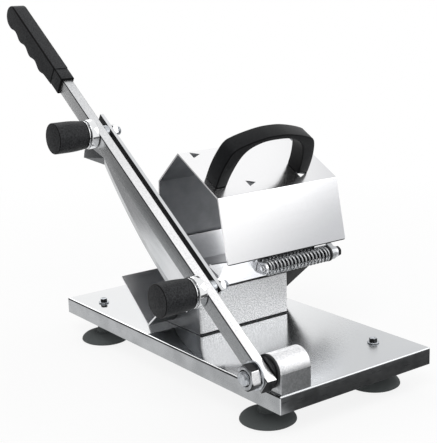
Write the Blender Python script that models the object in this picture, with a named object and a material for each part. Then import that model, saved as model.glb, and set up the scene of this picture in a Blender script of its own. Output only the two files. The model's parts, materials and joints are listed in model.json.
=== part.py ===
"""Hand-levered slicer with a V-shaped feed trough, as separate pieces at their real size.

A blade on a long lever arm swings past the open front of the trough. A folded
press cover lies over the trough. It slides along a guide rod beside the trough, against
a return spring, and lifts about the same rod. All lengths are in metres, +Z is up. The
pieces are laid out from the front corner of the base tray, with the tray's top at Z = 0,
and a root empty then centres the whole on the origin with its feet on Z = 0.
"""

import math

import bmesh
import bpy
from mathutils import Vector
from mathutils.geometry import convex_hull_2d

# General fits
GAP = 0.0003
RUNNING_GAP = 0.0001
OVERRUN = 0.002
ROUND_STEPS = 24
FINE_STEPS = 30
SMALL_STEPS = 14
SHARP_ANGLE = math.radians(32)

# Base tray, folded from sheet and open below
BASE_WIDTH = 0.168
BASE_LENGTH = 0.340
BASE_LIP = 0.0153
BASE_SHEET = 0.0015
BASE_BEND = 0.0016
FOOT_LEFT_INSET = 0.0195
FOOT_RIGHT_INSET = 0.0290
FOOT_SETBACK = 0.040

# Rubber suction feet with their screws
FOOT_DROP = 0.0378
FOOT_RADIUS = 0.0238
FOOT_SOLE_RADIUS = 0.0220
FOOT_RIM = 0.0012
FOOT_LAND = 0.0060
FOOT_DISH = 0.0030
FOOT_DOME = 0.0072
FOOT_DOME_STEPS = 7
FOOT_NECK_RADIUS = 0.0085
FOOT_SCREW_RADIUS = 0.0025
FOOT_SCREW_LENGTH = 0.0120
FOOT_SCREW_HEAD_RADIUS = 0.0037
FOOT_SCREW_HEAD_HEIGHT = 0.0034
FOOT_WASHER_RADIUS = 0.0052
FOOT_WASHER_THICKNESS = 0.0010

# V trough
TROUGH_SETBACK = 0.1405
TROUGH_FRONT = 0.0080
TROUGH_REAR = 0.1675
TROUGH_KEEL_Z = 0.0040
TROUGH_FOLD_HALF = 0.0445
TROUGH_FOLD_Z = 0.0415
TROUGH_TOP_HALF = 0.0530
TROUGH_TOP_Z = 0.0655
TROUGH_SHEET = 0.0015
TROUGH_WALL_SETBACK = 0.0500
TROUGH_WALL_LEAN = 0.0020
TROUGH_WING_REACH = 0.0170
TROUGH_WING_BEND = 0.0035
WING_ROOT_SHARE = 0.45

# Stand that carries the trough
STAND_FRONT = 0.0350
STAND_REAR = 0.1380
STAND_HALF = 0.0455
STAND_SHEET = 0.0020
STAND_FLANGE = 0.0150
STAND_FLANGE_INSET = 0.0060
STAND_SCREW_INSET = 0.0200
STAND_SCREW_RADIUS = 0.0025
STAND_SCREW_HEAD_RADIUS = 0.0045
STAND_SCREW_HEAD_HEIGHT = 0.0028

# Pivot of the lever arm
PIVOT_Y = 0.0153
PIVOT_Z = 0.0166
HOUSING_FRONT = 0.0020
HOUSING_REAR = 0.0330
HOUSING_RADIUS = 0.0138
HOUSING_BORE = 0.0088
HOUSING_POCKET_RADIUS = 0.0105
HOUSING_POCKET_DEPTH = 0.0050
HOUSING_SCREW_SPREAD = 0.0110
HOUSING_SCREW_DEPTH = 0.0055
BUSH_LENGTH = 0.0120
SHAFT_RADIUS = 0.0066
SHAFT_ARM_RADIUS = 0.0058
SHAFT_CHAMFER = 0.0008
SHAFT_REAR_RECESS = 0.0010
CLIP_RADIUS = 0.0092
CLIP_THICKNESS = 0.0012
THRUST_WASHER_RADIUS = 0.0138
THRUST_WASHER_THICKNESS = 0.0016
PIVOT_WASHER_RADIUS = 0.0120
PIVOT_WASHER_THICKNESS = 0.0014
PIVOT_NUT_FLATS = 0.0190
PIVOT_NUT_HEIGHT = 0.0085
PIVOT_THREAD_PROUD = 0.0030

# Lever arm
ARM_REST_ANGLE = math.radians(35.3)
ARM_FRONT = -0.0120
ARM_REAR = -0.0020
ARM_HEIGHT = 0.0140
ARM_HEEL = 0.0133
ARM_EDGE = 0.0006
ARM_INTO_GRIP = 0.0900

# Hand grip
GRIP_START = 0.3512
GRIP_LENGTH = 0.1224
GRIP_WIDTH = 0.0150
GRIP_TOP = 0.0095
GRIP_FERRULE_LENGTH = 0.0150
GRIP_FERRULE_BOTTOM = 0.0092
GRIP_BELLY = 0.0115
GRIP_SCALLOP = 0.0015
GRIP_SCALLOP_PITCH = 0.0230
GRIP_FIRST_CREST = 0.0400
GRIP_SCALLOP_START = 0.0285
GRIP_TIP_LENGTH = 0.0110
GRIP_ROUNDING = 0.0016
GRIP_FERRULE_STEP = 0.0005
GRIP_OUTLINE_STEPS = 34
GRIP_TIP_STEPS = 8
GRIP_ROUND_STEPS = 4

# Blade
BLADE_GAP = 0.0050
BLADE_THICKNESS = 0.0035
BLADE_TOP = 0.0062
BLADE_START = 0.0792
BLADE_HEEL = 0.1062
BLADE_HEEL_DEPTH = 0.0540
BLADE_EDGE_END = 0.2755
BLADE_EDGE_END_DEPTH = 0.0347
BLADE_BELLY = 0.0072
BLADE_GRIND = 0.0090
BLADE_LAND = 0.0004
BLADE_END = 0.3012
BLADE_BEAK_ROOT_DEPTH = 0.0335
BLADE_BEAK_TIP = 0.3102
BLADE_BEAK_TIP_DEPTH = 0.0466
BLADE_BEAK_CORNER = 0.3076
BLADE_BEAK_CORNER_DEPTH = 0.0546
BLADE_BEAK_EDGE = 0.0012
BLADE_STATIONS = 16

# Clamps that hold the blade to the arm
CLAMP_LOWER = 0.0882
CLAMP_UPPER = 0.2832
CLAMP_STUD_RADIUS = 0.0040
CLAMP_NUT_FLATS = 0.0120
CLAMP_NUT_HEIGHT = 0.0045
CLAMP_STUD_PROUD = 0.0050
SPACER_RADIUS = 0.0065
COLLAR_RADIUS = 0.0134
COLLAR_LENGTH = 0.0080
COLLAR_EDGE = 0.0012
RING_RADIUS = 0.0128
RING_THICKNESS = 0.0012
RING_STANDOFF = 0.0009
KNOB_RADIUS = 0.0140
KNOB_LENGTH = 0.0300
KNOB_EDGE = 0.0014
KNOB_REAR_RADIUS = 0.0128
KNOB_WAIST_SHARE = 0.45
KNOB_TAPER_STEPS = 4
KNOB_DOME = 0.0006
INSERT_RADIUS = 0.0062
INSERT_LENGTH = 0.0200

# Guide rod and return spring
ROD_Z = 0.0535
ROD_RADIUS = 0.0030
ROD_FRONT = 0.0976
ROD_LUG_THICKNESS = 0.0025
ROD_LUG_RADIUS = 0.0056
FRONT_LUG_FRONT = 0.0985
REAR_LUG_FRONT = 0.1852
REAR_LUG_STRAP_START = 0.1460
REAR_LUG_STRAP_LOW_SHARE = 0.18
REAR_LUG_STRAP_HIGH_SHARE = 0.72
ROD_NUT_FLATS = 0.0090
ROD_NUT_HEIGHT = 0.0040
ROD_REAR_CHAMFER = 0.0006
SPRING_COIL_RADIUS = 0.0065
SPRING_WIRE = 0.0020
SPRING_TURNS = 16
SPRING_POINTS_PER_TURN = 9
SPRING_CORNER = 0.0025
SPRING_CORNER_STEPS = 3
SPRING_SMALLEST_GAP = 0.0004
SPRING_WALL_CLEARANCE = 0.00122

# Press cover
COVER_FRONT = 0.0600
COVER_LENGTH = 0.1430
COVER_SHEET = 0.0015
COVER_NEAR_OFFSET = 0.0015
COVER_NEAR_Z = 0.0630
COVER_NEAR_LEAN = 0.0125
COVER_FOLD_Z = 0.1230
COVER_RIDGE_OFFSET = 0.0175
COVER_RIDGE_Z = 0.1570
COVER_FAR_LEAN = 0.0040
COVER_FAR_FOLD_Z = 0.1260
COVER_FAR_OVERHANG = 0.0035
COVER_CORNER = 0.0020
KNUCKLE_FRONT = 0.1788
KNUCKLE_LENGTH = 0.0055
KNUCKLE_RADIUS = 0.0066
BUSH_SLEEVE_RADIUS = 0.0046
BUSH_COLLAR_RADIUS = 0.0076
BUSH_COLLAR_THICKNESS = 0.0016
LEDGE_START = 0.0750
LEDGE_LENGTH = 0.0800
LEDGE_REACH = 0.0060
LEDGE_THICKNESS = 0.0020

# Grip teeth punched from the cover's roof
TOOTH_LOW_ROW = 0.0135
TOOTH_HIGH_ROW = 0.0635
TOOTH_PITCH = 0.0610
TOOTH_HIGH_START = 0.0120
TOOTH_LOW_START = 0.0430
TOOTH_HIGH_COUNT = 3
TOOTH_LOW_COUNT = 2
TOOTH_WIDTH = 0.0085
TOOTH_LENGTH = 0.0095
TOOTH_TIP = 0.0008

# Bow handle on the cover
BOW_CENTRE_X = 0.1215
BOW_WIDTH = 0.1100
BOW_HEIGHT = 0.0512
BOW_DEPTH = 0.0180
BOW_SETBACK = 0.0135
BOW_EDGE = 0.0012
BOW_SMOOTHING_SHARE = 0.25
BOW_OUTER_SHARES = (
    (1.000, 0.000), (0.996, 0.270), (0.955, 0.520), (0.870, 0.775),
    (0.720, 0.850), (0.530, 0.912), (0.340, 0.960), (0.150, 0.992),
)
BOW_INNER_SHARES = (
    (0.775, 0.000), (0.765, 0.200), (0.715, 0.455), (0.640, 0.655),
    (0.530, 0.772), (0.385, 0.846), (0.200, 0.896),
)
BOW_SCREW_RADIUS = 0.0022
BOW_SCREW_DEPTH = 0.0120
BOW_SCREW_HEAD_RADIUS = 0.0040
BOW_SCREW_HEAD_HEIGHT = 0.0024
BOW_SCREW_INSET = 0.0060

# Places that follow from the sizes above
TROUGH_CENTRE_Y = BASE_LENGTH - TROUGH_SETBACK
TROUGH_LEAN = math.atan2(TROUGH_TOP_HALF - TROUGH_FOLD_HALF, TROUGH_TOP_Z - TROUGH_FOLD_Z)
ROD_WALL_HALF = TROUGH_FOLD_HALF + (ROD_Z - TROUGH_FOLD_Z) * math.tan(TROUGH_LEAN)
SPRING_REACH = SPRING_COIL_RADIUS + SPRING_WIRE / 2 + SPRING_WALL_CLEARANCE
ROD_Y = TROUGH_CENTRE_Y - ROD_WALL_HALF - SPRING_REACH / math.cos(TROUGH_LEAN)
COVER_NEAR_Y = ROD_Y + COVER_NEAR_OFFSET
COVER_FOLD_Y = COVER_NEAR_Y + COVER_NEAR_LEAN
COVER_RIDGE_Y = TROUGH_CENTRE_Y + COVER_RIDGE_OFFSET
COVER_FAR_Y = TROUGH_CENTRE_Y + TROUGH_TOP_HALF + COVER_FAR_OVERHANG
COVER_FAR_FOLD_Y = COVER_FAR_Y - COVER_FAR_LEAN

# Surface finishes: colour, metallic value, roughness
POLISHED_STEEL = ((0.82, 0.83, 0.84), 1.0, 0.12)
SATIN_STEEL = ((0.72, 0.73, 0.74), 1.0, 0.32)
GROUND_STEEL = ((0.66, 0.67, 0.69), 1.0, 0.24)
CHROME = ((0.90, 0.90, 0.91), 1.0, 0.08)
ZINC = ((0.60, 0.61, 0.62), 1.0, 0.38)
DARK_STEEL = ((0.10, 0.10, 0.11), 0.8, 0.40)
BRASS = ((0.72, 0.55, 0.26), 1.0, 0.30)
BRONZE = ((0.55, 0.36, 0.20), 1.0, 0.35)
BLACK_PLASTIC = ((0.030, 0.031, 0.033), 0.0, 0.42)
BLACK_NYLON = ((0.020, 0.020, 0.022), 0.0, 0.55)
GREY_RUBBER = ((0.060, 0.066, 0.066), 0.0, 0.62)


# Scene helpers

def clear_scene():
    """Remove whatever the scene holds."""
    for old in list(bpy.data.objects):
        bpy.data.objects.remove(old, do_unlink=True)


def empty(name, parent=None, location=(0, 0, 0), turn_x=0.0):
    """Make an empty that carries other pieces, turned about X."""
    holder = bpy.data.objects.new(name, None)
    bpy.context.collection.objects.link(holder)
    holder.parent = parent
    holder.location = location
    holder.rotation_euler = (turn_x, 0, 0)
    return holder


def finish_material(name, finish):
    """Make the piece's own material from a colour, a metallic value and a roughness."""
    colour, metallic, roughness = finish
    material = bpy.data.materials.new(name + "_finish")
    material.use_nodes = True
    shader = material.node_tree.nodes["Principled BSDF"]
    shader.inputs["Base Color"].default_value = (*colour, 1.0)
    shader.inputs["Metallic"].default_value = metallic
    shader.inputs["Roughness"].default_value = roughness
    return material


def piece(name, shape, finish, parent, location=(0, 0, 0), turn_x=0.0, round_shape=True):
    """Turn a bmesh into a named object with its own material."""
    bmesh.ops.recalc_face_normals(shape, faces=shape.faces)
    mesh = bpy.data.meshes.new(name)
    shape.to_mesh(mesh)
    shape.free()
    if round_shape:
        mesh.shade_smooth()
        mesh.set_sharp_from_angle(angle=SHARP_ANGLE)
    mesh.materials.append(finish_material(name, finish))
    made = bpy.data.objects.new(name, mesh)
    bpy.context.collection.objects.link(made)
    made.parent = parent
    made.location = location
    made.rotation_euler = (turn_x, 0, 0)
    return made


def combine(target, name, shape, parent=None, operation="DIFFERENCE"):
    """Cut a shape out of the target, or join it on.

    The shape is given in the target's own frame, or else in the frame of a parent.
    """
    bmesh.ops.recalc_face_normals(shape, faces=shape.faces)
    mesh = bpy.data.meshes.new(name)
    shape.to_mesh(mesh)
    shape.free()
    tool = bpy.data.objects.new(name, mesh)
    bpy.context.collection.objects.link(tool)
    tool.parent = parent or target.parent
    if parent is None:
        tool.location = target.location
        tool.rotation_euler = target.rotation_euler
    tool.hide_render = True
    tool.display_type = "WIRE"
    boolean = target.modifiers.new(name, "BOOLEAN")
    boolean.operation = operation
    boolean.solver = "EXACT"
    boolean.object = tool


def solidify(made, thickness):
    """Give a folded sheet its thickness, on the inner side of its surface."""
    wall = made.modifiers.new("sheet", "SOLIDIFY")
    wall.thickness = thickness
    wall.offset = -1.0
    wall.use_even_offset = True
    wall.use_quality_normals = True


# Shape helpers

def box(low, high):
    """Return a box between two corners."""
    shape = bmesh.new()
    corners = [
        shape.verts.new((x, y, z))
        for x in (low[0], high[0]) for y in (low[1], high[1]) for z in (low[2], high[2])
    ]
    sides = ((0, 1, 3, 2), (4, 6, 7, 5), (0, 4, 5, 1), (2, 3, 7, 6), (0, 2, 6, 4), (1, 5, 7, 3))
    for face in sides:
        shape.faces.new([corners[index] for index in face])
    return shape


def soften(shape, width, chosen=None, segments=2):
    """Round the edges of a shape that pass the chosen test."""
    edges = [edge for edge in shape.edges if chosen is None or chosen(edge)]
    bmesh.ops.bevel(
        shape, geom=edges, offset=width, segments=segments, profile=0.5, affect="EDGES"
    )
    return shape


def prism(outline, low_x, high_x, shape=None):
    """Carry an outline of (y, z) points along X."""
    shape = shape or bmesh.new()
    near = [shape.verts.new((low_x, y, z)) for y, z in outline]
    far = [shape.verts.new((high_x, y, z)) for y, z in outline]
    count = len(outline)
    shape.faces.new(near)
    shape.faces.new(far)
    for index in range(count):
        after = (index + 1) % count
        shape.faces.new((near[index], near[after], far[after], far[index]))
    return shape


def turned(profile, axis="X", centre=(0, 0, 0), steps=ROUND_STEPS, shape=None):
    """Turn a closed profile of (along, radius) points about an axis through the centre."""
    shape = shape or bmesh.new()
    rings = []
    for along, radius in profile:
        if radius == 0:
            rings.append([shape.verts.new(place_round(axis, centre, along, 0, 0))])
            continue
        ring = []
        for step in range(steps):
            angle = math.tau * step / steps
            ring.append(shape.verts.new(
                place_round(axis, centre, along, radius * math.cos(angle), radius * math.sin(angle))
            ))
        rings.append(ring)
    for index, ring in enumerate(rings):
        following = rings[(index + 1) % len(rings)]
        join_rings(shape, ring, following, steps)
    return shape


def place_round(axis, centre, along, first, second):
    """Place a point given along an axis and across it."""
    if axis == "X":
        return centre[0] + along, centre[1] + first, centre[2] + second
    return centre[0] + first, centre[1] + second, centre[2] + along


def join_rings(shape, ring, following, steps):
    """Join two rings of a turned shape, either of which may be a single point."""
    if len(ring) == 1 and len(following) == 1:
        return
    for step in range(steps):
        after = (step + 1) % steps
        if len(ring) == 1:
            shape.faces.new((ring[0], following[after], following[step]))
        elif len(following) == 1:
            shape.faces.new((ring[step], ring[after], following[0]))
        else:
            shape.faces.new((ring[step], ring[after], following[after], following[step]))


def rod_profile(low, high, radius, chamfer=0.0):
    """Return the profile of a plain or chamfered rod."""
    if chamfer == 0:
        return [(low, 0), (low, radius), (high, radius), (high, 0)]
    return [
        (low, 0), (low, radius - chamfer), (low + chamfer, radius),
        (high - chamfer, radius), (high, radius - chamfer), (high, 0),
    ]


def ring_profile(low, high, bore, radius, chamfer=0.0):
    """Return the profile of a washer, spacer or bush."""
    if chamfer == 0:
        return [(low, bore), (low, radius), (high, radius), (high, bore)]
    return [
        (low, bore), (low, radius - chamfer), (low + chamfer, radius),
        (high - chamfer, radius), (high, radius - chamfer), (high, bore),
    ]


def hexagon_nut(low, high, flats, bore, centre=(0, 0), steps=FINE_STEPS):
    """Return a hexagonal nut along X, with its corners chamfered on both faces."""
    outer = flats / 2 / math.cos(math.pi / 6)
    chamfer = (outer - flats / 2) * math.tan(math.pi / 6)
    shape = bmesh.new()
    rings = []
    sections = (
        (low, flats / 2), (low + chamfer, outer), (high - chamfer, outer), (high, flats / 2),
    )
    for along, limit in sections:
        ring = []
        for step in range(steps):
            angle = math.tau * step / steps
            turn = (angle + math.pi / 6) % (math.pi / 3) - math.pi / 6
            radius = min(limit, flats / 2 / math.cos(turn))
            ring.append(shape.verts.new(place_round(
                "X", (0, *centre), along, radius * math.cos(angle), radius * math.sin(angle)
            )))
        rings.append(ring)
    for along in (high, low):
        ring = []
        for step in range(steps):
            angle = math.tau * step / steps
            ring.append(shape.verts.new(place_round(
                "X", (0, *centre), along, bore * math.cos(angle), bore * math.sin(angle)
            )))
        rings.append(ring)
    for index, ring in enumerate(rings):
        join_rings(shape, ring, rings[(index + 1) % len(rings)], steps)
    return shape


def hull_outline(points):
    """Return the convex outline round a set of (y, z) points."""
    return [points[index] for index in convex_hull_2d([Vector(point) for point in points])]


def circle(centre, radius, steps=ROUND_STEPS):
    """Return points round a circle in the Y-Z plane."""
    return [
        (
            centre[0] + radius * math.cos(math.tau * step / steps),
            centre[1] + radius * math.sin(math.tau * step / steps),
        )
        for step in range(steps)
    ]


def sheet_surface(faces):
    """Build an open surface from faces of points, with equal points shared."""
    shape = bmesh.new()
    known = {}
    for points in faces:
        corners = []
        for point in points:
            if point not in known:
                known[point] = shape.verts.new(point)
            corners.append(known[point])
        shape.faces.new(corners)
    return shape


def sheet_piece(name, faces, thickness, finish, parent):
    """Make a folded sheet whose faces are given in order, seen from outside."""
    shape = sheet_surface(faces)
    mesh = bpy.data.meshes.new(name)
    shape.to_mesh(mesh)
    shape.free()
    mesh.materials.append(finish_material(name, finish))
    made = bpy.data.objects.new(name, mesh)
    bpy.context.collection.objects.link(made)
    made.parent = parent
    solidify(made, thickness)
    return made


# Base, feet and stand

def foot_places():
    """Return the four feet's names and centres."""
    near, far = FOOT_LEFT_INSET, BASE_WIDTH - FOOT_RIGHT_INSET
    front, rear = FOOT_SETBACK, BASE_LENGTH - FOOT_SETBACK
    return (
        ("front_left", near, front), ("front_right", far, front),
        ("rear_left", near, rear), ("rear_right", far, rear),
    )


def make_base(root):
    """Fold the base tray, with holes for the feet, the stand and the pivot housing."""
    shape = box((0, 0, -BASE_LIP), (BASE_WIDTH, BASE_LENGTH, 0))
    under = [face for face in shape.faces if all(vert.co.z < 0 for vert in face.verts)]
    bmesh.ops.delete(shape, geom=under, context="FACES_ONLY")
    soften(shape, BASE_BEND, lambda edge: len(edge.link_faces) == 2)
    tray = piece("base_plate", shape, POLISHED_STEEL, root, round_shape=False)
    solidify(tray, BASE_SHEET)
    low, high = -BASE_SHEET - OVERRUN, OVERRUN
    for label, x, y in foot_places():
        hole = rod_profile(low, high, FOOT_SCREW_RADIUS + GAP)
        combine(tray, "hole_foot_" + label, turned(hole, "Z", (x, y, 0), SMALL_STEPS))
    for index, (x, y) in enumerate(stand_screw_places() + housing_screw_places()):
        hole = rod_profile(low, high, STAND_SCREW_RADIUS + GAP)
        combine(tray, "hole_under_%d" % index, turned(hole, "Z", (x, y, 0), SMALL_STEPS))


def make_feet(root):
    """Turn four rubber suction cups: a dished sole, a domed skirt and a narrow neck.

    The skirt is a quarter of an ellipse between the rim and the neck.
    """
    top = -BASE_SHEET - GAP
    sole = -FOOT_DROP
    rim = sole + FOOT_RIM
    profile = [
        (sole + FOOT_DISH, 0), (sole, FOOT_SOLE_RADIUS - FOOT_LAND), (sole, FOOT_SOLE_RADIUS),
    ]
    for step in range(FOOT_DOME_STEPS + 1):
        angle = math.pi / 2 * step / FOOT_DOME_STEPS
        reach = (FOOT_RADIUS - FOOT_NECK_RADIUS) * math.cos(angle)
        profile.append((rim + FOOT_DOME * math.sin(angle), FOOT_NECK_RADIUS + reach))
    hole = FOOT_SCREW_RADIUS + GAP
    floor = top - FOOT_SCREW_LENGTH - GAP
    profile += [(top, FOOT_NECK_RADIUS), (top, hole), (floor, hole), (floor, 0)]
    for label, x, y in foot_places():
        shape = turned(profile, "Z", steps=ROUND_STEPS)
        piece("suction_foot_" + label, shape, GREY_RUBBER, root, (x, y, 0))


def make_foot_screws(root):
    """Make the four screws that hold the feet, each with a washer turned on its head."""
    seat = GAP + FOOT_WASHER_THICKNESS
    crown = seat + FOOT_SCREW_HEAD_HEIGHT
    tip = -BASE_SHEET - FOOT_SCREW_LENGTH
    edge = FOOT_SCREW_HEAD_HEIGHT / 4
    profile = [
        (tip, 0), (tip, FOOT_SCREW_RADIUS), (GAP, FOOT_SCREW_RADIUS), (GAP, FOOT_WASHER_RADIUS),
        (seat, FOOT_WASHER_RADIUS), (seat, FOOT_SCREW_HEAD_RADIUS),
        (crown - edge, FOOT_SCREW_HEAD_RADIUS), (crown, FOOT_SCREW_HEAD_RADIUS - edge), (crown, 0),
    ]
    for label, x, y in foot_places():
        shape = turned(profile, "Z", steps=SMALL_STEPS)
        piece("foot_screw_" + label, shape, DARK_STEEL, root, (x, y, 0))


def trough_keel_height(y):
    """Return the height of the trough's outer V at a distance along Y."""
    slope = (TROUGH_FOLD_Z - TROUGH_KEEL_Z) / TROUGH_FOLD_HALF
    return TROUGH_KEEL_Z + abs(y - TROUGH_CENTRE_Y) * slope


def stand_screw_places():
    """Return where the stand's flanges are screwed to the base."""
    across = STAND_HALF - STAND_SHEET - STAND_FLANGE / 2
    return [
        (x, TROUGH_CENTRE_Y + side * across)
        for x in (STAND_FRONT + STAND_SCREW_INSET, STAND_REAR - STAND_SCREW_INSET)
        for side in (-1, 1)
    ]


def make_stand(root):
    """Fold the stand: two side panels, notched end panels and turned-in floor flanges."""
    front, rear = STAND_FRONT, STAND_REAR
    low = GAP
    middle = TROUGH_CENTRE_Y
    near, far = middle - STAND_HALF, middle + STAND_HALF
    inner_top = trough_keel_height(near + STAND_SHEET) - 2 * GAP
    keel = trough_keel_height(middle) - 2 * GAP
    inset = STAND_FLANGE_INSET
    faces = []
    for side, edge in ((-1, near), (1, far)):
        panel = [
            (front, edge, low), (front + inset, edge, low), (rear - inset, edge, low),
            (rear, edge, low), (rear, edge, inner_top), (front, edge, inner_top),
        ]
        reach = edge - side * STAND_FLANGE
        flange = [
            (front + inset, edge, low), (front + inset, reach, low),
            (rear - inset, reach, low), (rear - inset, edge, low),
        ]
        faces += [panel, flange] if side < 0 else [panel[::-1], flange[::-1]]
    for x, order in ((front, -1), (rear, 1)):
        end = [
            (x, near, low), (x, far, low), (x, far, inner_top), (x, middle, keel), (x, near, inner_top),
        ]
        faces.append(end if order > 0 else end[::-1])
    stand = sheet_piece("stand_column", faces, STAND_SHEET, SATIN_STEEL, root)
    for index, (x, y) in enumerate(stand_screw_places()):
        hole = rod_profile(-OVERRUN, low + STAND_SHEET + OVERRUN, STAND_SCREW_RADIUS + GAP)
        combine(stand, "hole_flange_%d" % index, turned(hole, "Z", (x, y, 0), SMALL_STEPS))


def make_stand_screws(root):
    """Make the screws that come up through the base into the stand's flanges."""
    profile = screw_from_below(-BASE_SHEET - GAP, GAP + STAND_SHEET)
    for index, (x, y) in enumerate(stand_screw_places()):
        shape = turned(profile, "Z", steps=SMALL_STEPS)
        piece("stand_screw_%d" % (index + 1), shape, ZINC, root, (x, y, 0))


def screw_from_below(under, top):
    """Return the profile of a pan-headed screw whose head hangs under the base."""
    head = under - STAND_SCREW_HEAD_HEIGHT
    edge = STAND_SCREW_HEAD_HEIGHT / 3
    return [
        (head, 0), (head, STAND_SCREW_HEAD_RADIUS - edge), (head + edge, STAND_SCREW_HEAD_RADIUS),
        (under, STAND_SCREW_HEAD_RADIUS), (under, STAND_SCREW_RADIUS), (top, STAND_SCREW_RADIUS), (top, 0),
    ]


def trough_wall_point(share, side):
    """Return (y, z) on the trough's side wall, from its fold (0) to its top (1)."""
    half = TROUGH_FOLD_HALF + (TROUGH_TOP_HALF - TROUGH_FOLD_HALF) * share
    return TROUGH_CENTRE_Y + side * half, TROUGH_FOLD_Z + (TROUGH_TOP_Z - TROUGH_FOLD_Z) * share


def make_trough(root):
    """Fold the trough: a V floor, two steep walls and their bent-in front wings."""
    front, rear = TROUGH_FRONT, TROUGH_REAR
    wall_front = front + TROUGH_WALL_SETBACK
    root_front = wall_front - TROUGH_WALL_LEAN
    top_front = wall_front + TROUGH_WALL_LEAN
    wing_front = top_front - TROUGH_WING_REACH
    faces = []
    for side in (-1, 1):
        fold_y, fold_z = trough_wall_point(0, side)
        wing_y, wing_z = trough_wall_point(WING_ROOT_SHARE, side)
        top_y, top_z = trough_wall_point(1, side)
        keel = TROUGH_CENTRE_Y
        floor = [
            (front, keel, TROUGH_KEEL_Z), (rear, keel, TROUGH_KEEL_Z), (rear, fold_y, fold_z),
            (wall_front, fold_y, fold_z), (front, fold_y, fold_z),
        ]
        wall = [
            (wall_front, fold_y, fold_z), (rear, fold_y, fold_z), (rear, top_y, top_z),
            (top_front, top_y, top_z), (root_front, wing_y, wing_z),
        ]
        wing = [
            (root_front, wing_y, wing_z), (top_front, top_y, top_z),
            (wing_front, top_y - side * TROUGH_WING_BEND, top_z),
        ]
        for face in (floor, wall, wing):
            faces.append(face[::-1] if side < 0 else face)
    sheet_piece("feed_trough", [face[::-1] for face in faces], TROUGH_SHEET, POLISHED_STEEL, root)


def make_cover_ledge(root):
    """Make the ledge on the trough's far wall that the closed cover rests on."""
    high = COVER_NEAR_Z - GAP
    low = high - LEDGE_THICKNESS
    outer = TROUGH_CENTRE_Y + TROUGH_TOP_HALF
    lean = (TROUGH_TOP_HALF - TROUGH_FOLD_HALF) / (TROUGH_TOP_Z - TROUGH_FOLD_Z)
    gap = GAP + GAP
    outline = [
        (outer - (TROUGH_TOP_Z - low) * lean + gap, low),
        (outer + LEDGE_REACH, low), (outer + LEDGE_REACH, high),
        (outer - (TROUGH_TOP_Z - high) * lean + gap, high),
    ]
    shape = prism(outline, LEDGE_START, LEDGE_START + LEDGE_LENGTH)
    piece("cover_rest_ledge", shape, SATIN_STEEL, root, round_shape=False)


# Pivot

def housing_screw_places():
    """Return where the pivot housing is screwed to the base."""
    middle = (HOUSING_FRONT + HOUSING_REAR) / 2
    return [(middle + side * HOUSING_SCREW_SPREAD, PIVOT_Y) for side in (-1, 1)]


def make_housing(root):
    """Make the round-topped pivot housing with its bore, clip pocket and screw holes."""
    outline = [(PIVOT_Y - HOUSING_RADIUS, GAP), (PIVOT_Y + HOUSING_RADIUS, GAP)]
    half_steps = ROUND_STEPS // 2
    for step in range(half_steps + 1):
        angle = math.pi * step / half_steps
        outline.append((
            PIVOT_Y + HOUSING_RADIUS * math.cos(angle), PIVOT_Z + HOUSING_RADIUS * math.sin(angle)
        ))
    housing = piece("pivot_housing", prism(outline, HOUSING_FRONT, HOUSING_REAR), POLISHED_STEEL, root)
    centre = (0, PIVOT_Y, PIVOT_Z)
    bore = rod_profile(HOUSING_FRONT - OVERRUN, HOUSING_REAR + OVERRUN, HOUSING_BORE)
    combine(housing, "housing_bore", turned(bore, "X", centre, FINE_STEPS))
    pocket = rod_profile(HOUSING_REAR - HOUSING_POCKET_DEPTH, HOUSING_REAR + OVERRUN, HOUSING_POCKET_RADIUS)
    combine(housing, "housing_pocket", turned(pocket, "X", centre, FINE_STEPS))
    for index, (x, y) in enumerate(housing_screw_places()):
        hole = rod_profile(-OVERRUN, HOUSING_SCREW_DEPTH + GAP, STAND_SCREW_RADIUS + GAP)
        combine(housing, "housing_thread_%d" % index, turned(hole, "Z", (x, y, 0), SMALL_STEPS))


def make_housing_screws(root):
    """Make the two screws that hold the pivot housing from below."""
    profile = screw_from_below(-BASE_SHEET - GAP, HOUSING_SCREW_DEPTH)
    for index, (x, y) in enumerate(housing_screw_places()):
        shape = turned(profile, "Z", steps=SMALL_STEPS)
        piece("housing_screw_%d" % (index + 1), shape, ZINC, root, (x, y, 0))


def make_pivot_bushes(root):
    """Make the two bronze bushes in the housing and the thrust washer before it."""
    centre = (0, PIVOT_Y, PIVOT_Z)
    bore = SHAFT_RADIUS + RUNNING_GAP
    outer = HOUSING_BORE - GAP
    rear = HOUSING_REAR - HOUSING_POCKET_DEPTH - GAP
    places = (("front", HOUSING_FRONT + GAP), ("rear", rear - BUSH_LENGTH))
    for label, low in places:
        profile = ring_profile(low, low + BUSH_LENGTH, bore, outer)
        piece("pivot_bush_" + label, turned(profile, "X", steps=FINE_STEPS), BRONZE, root, centre)
    low = HOUSING_FRONT - GAP - THRUST_WASHER_THICKNESS
    profile = ring_profile(low, HOUSING_FRONT - GAP, bore, THRUST_WASHER_RADIUS)
    piece("thrust_washer", turned(profile, "X", steps=FINE_STEPS), BLACK_NYLON, root, centre)


def shaft_shoulder():
    """Return where the shaft steps up, just behind the washer beside the arm."""
    return ARM_REAR + GAP + PIVOT_WASHER_THICKNESS + GAP


def nut_face():
    """Return where the pivot nut bears on the outer washer."""
    return ARM_FRONT - GAP - PIVOT_WASHER_THICKNESS - GAP


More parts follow.
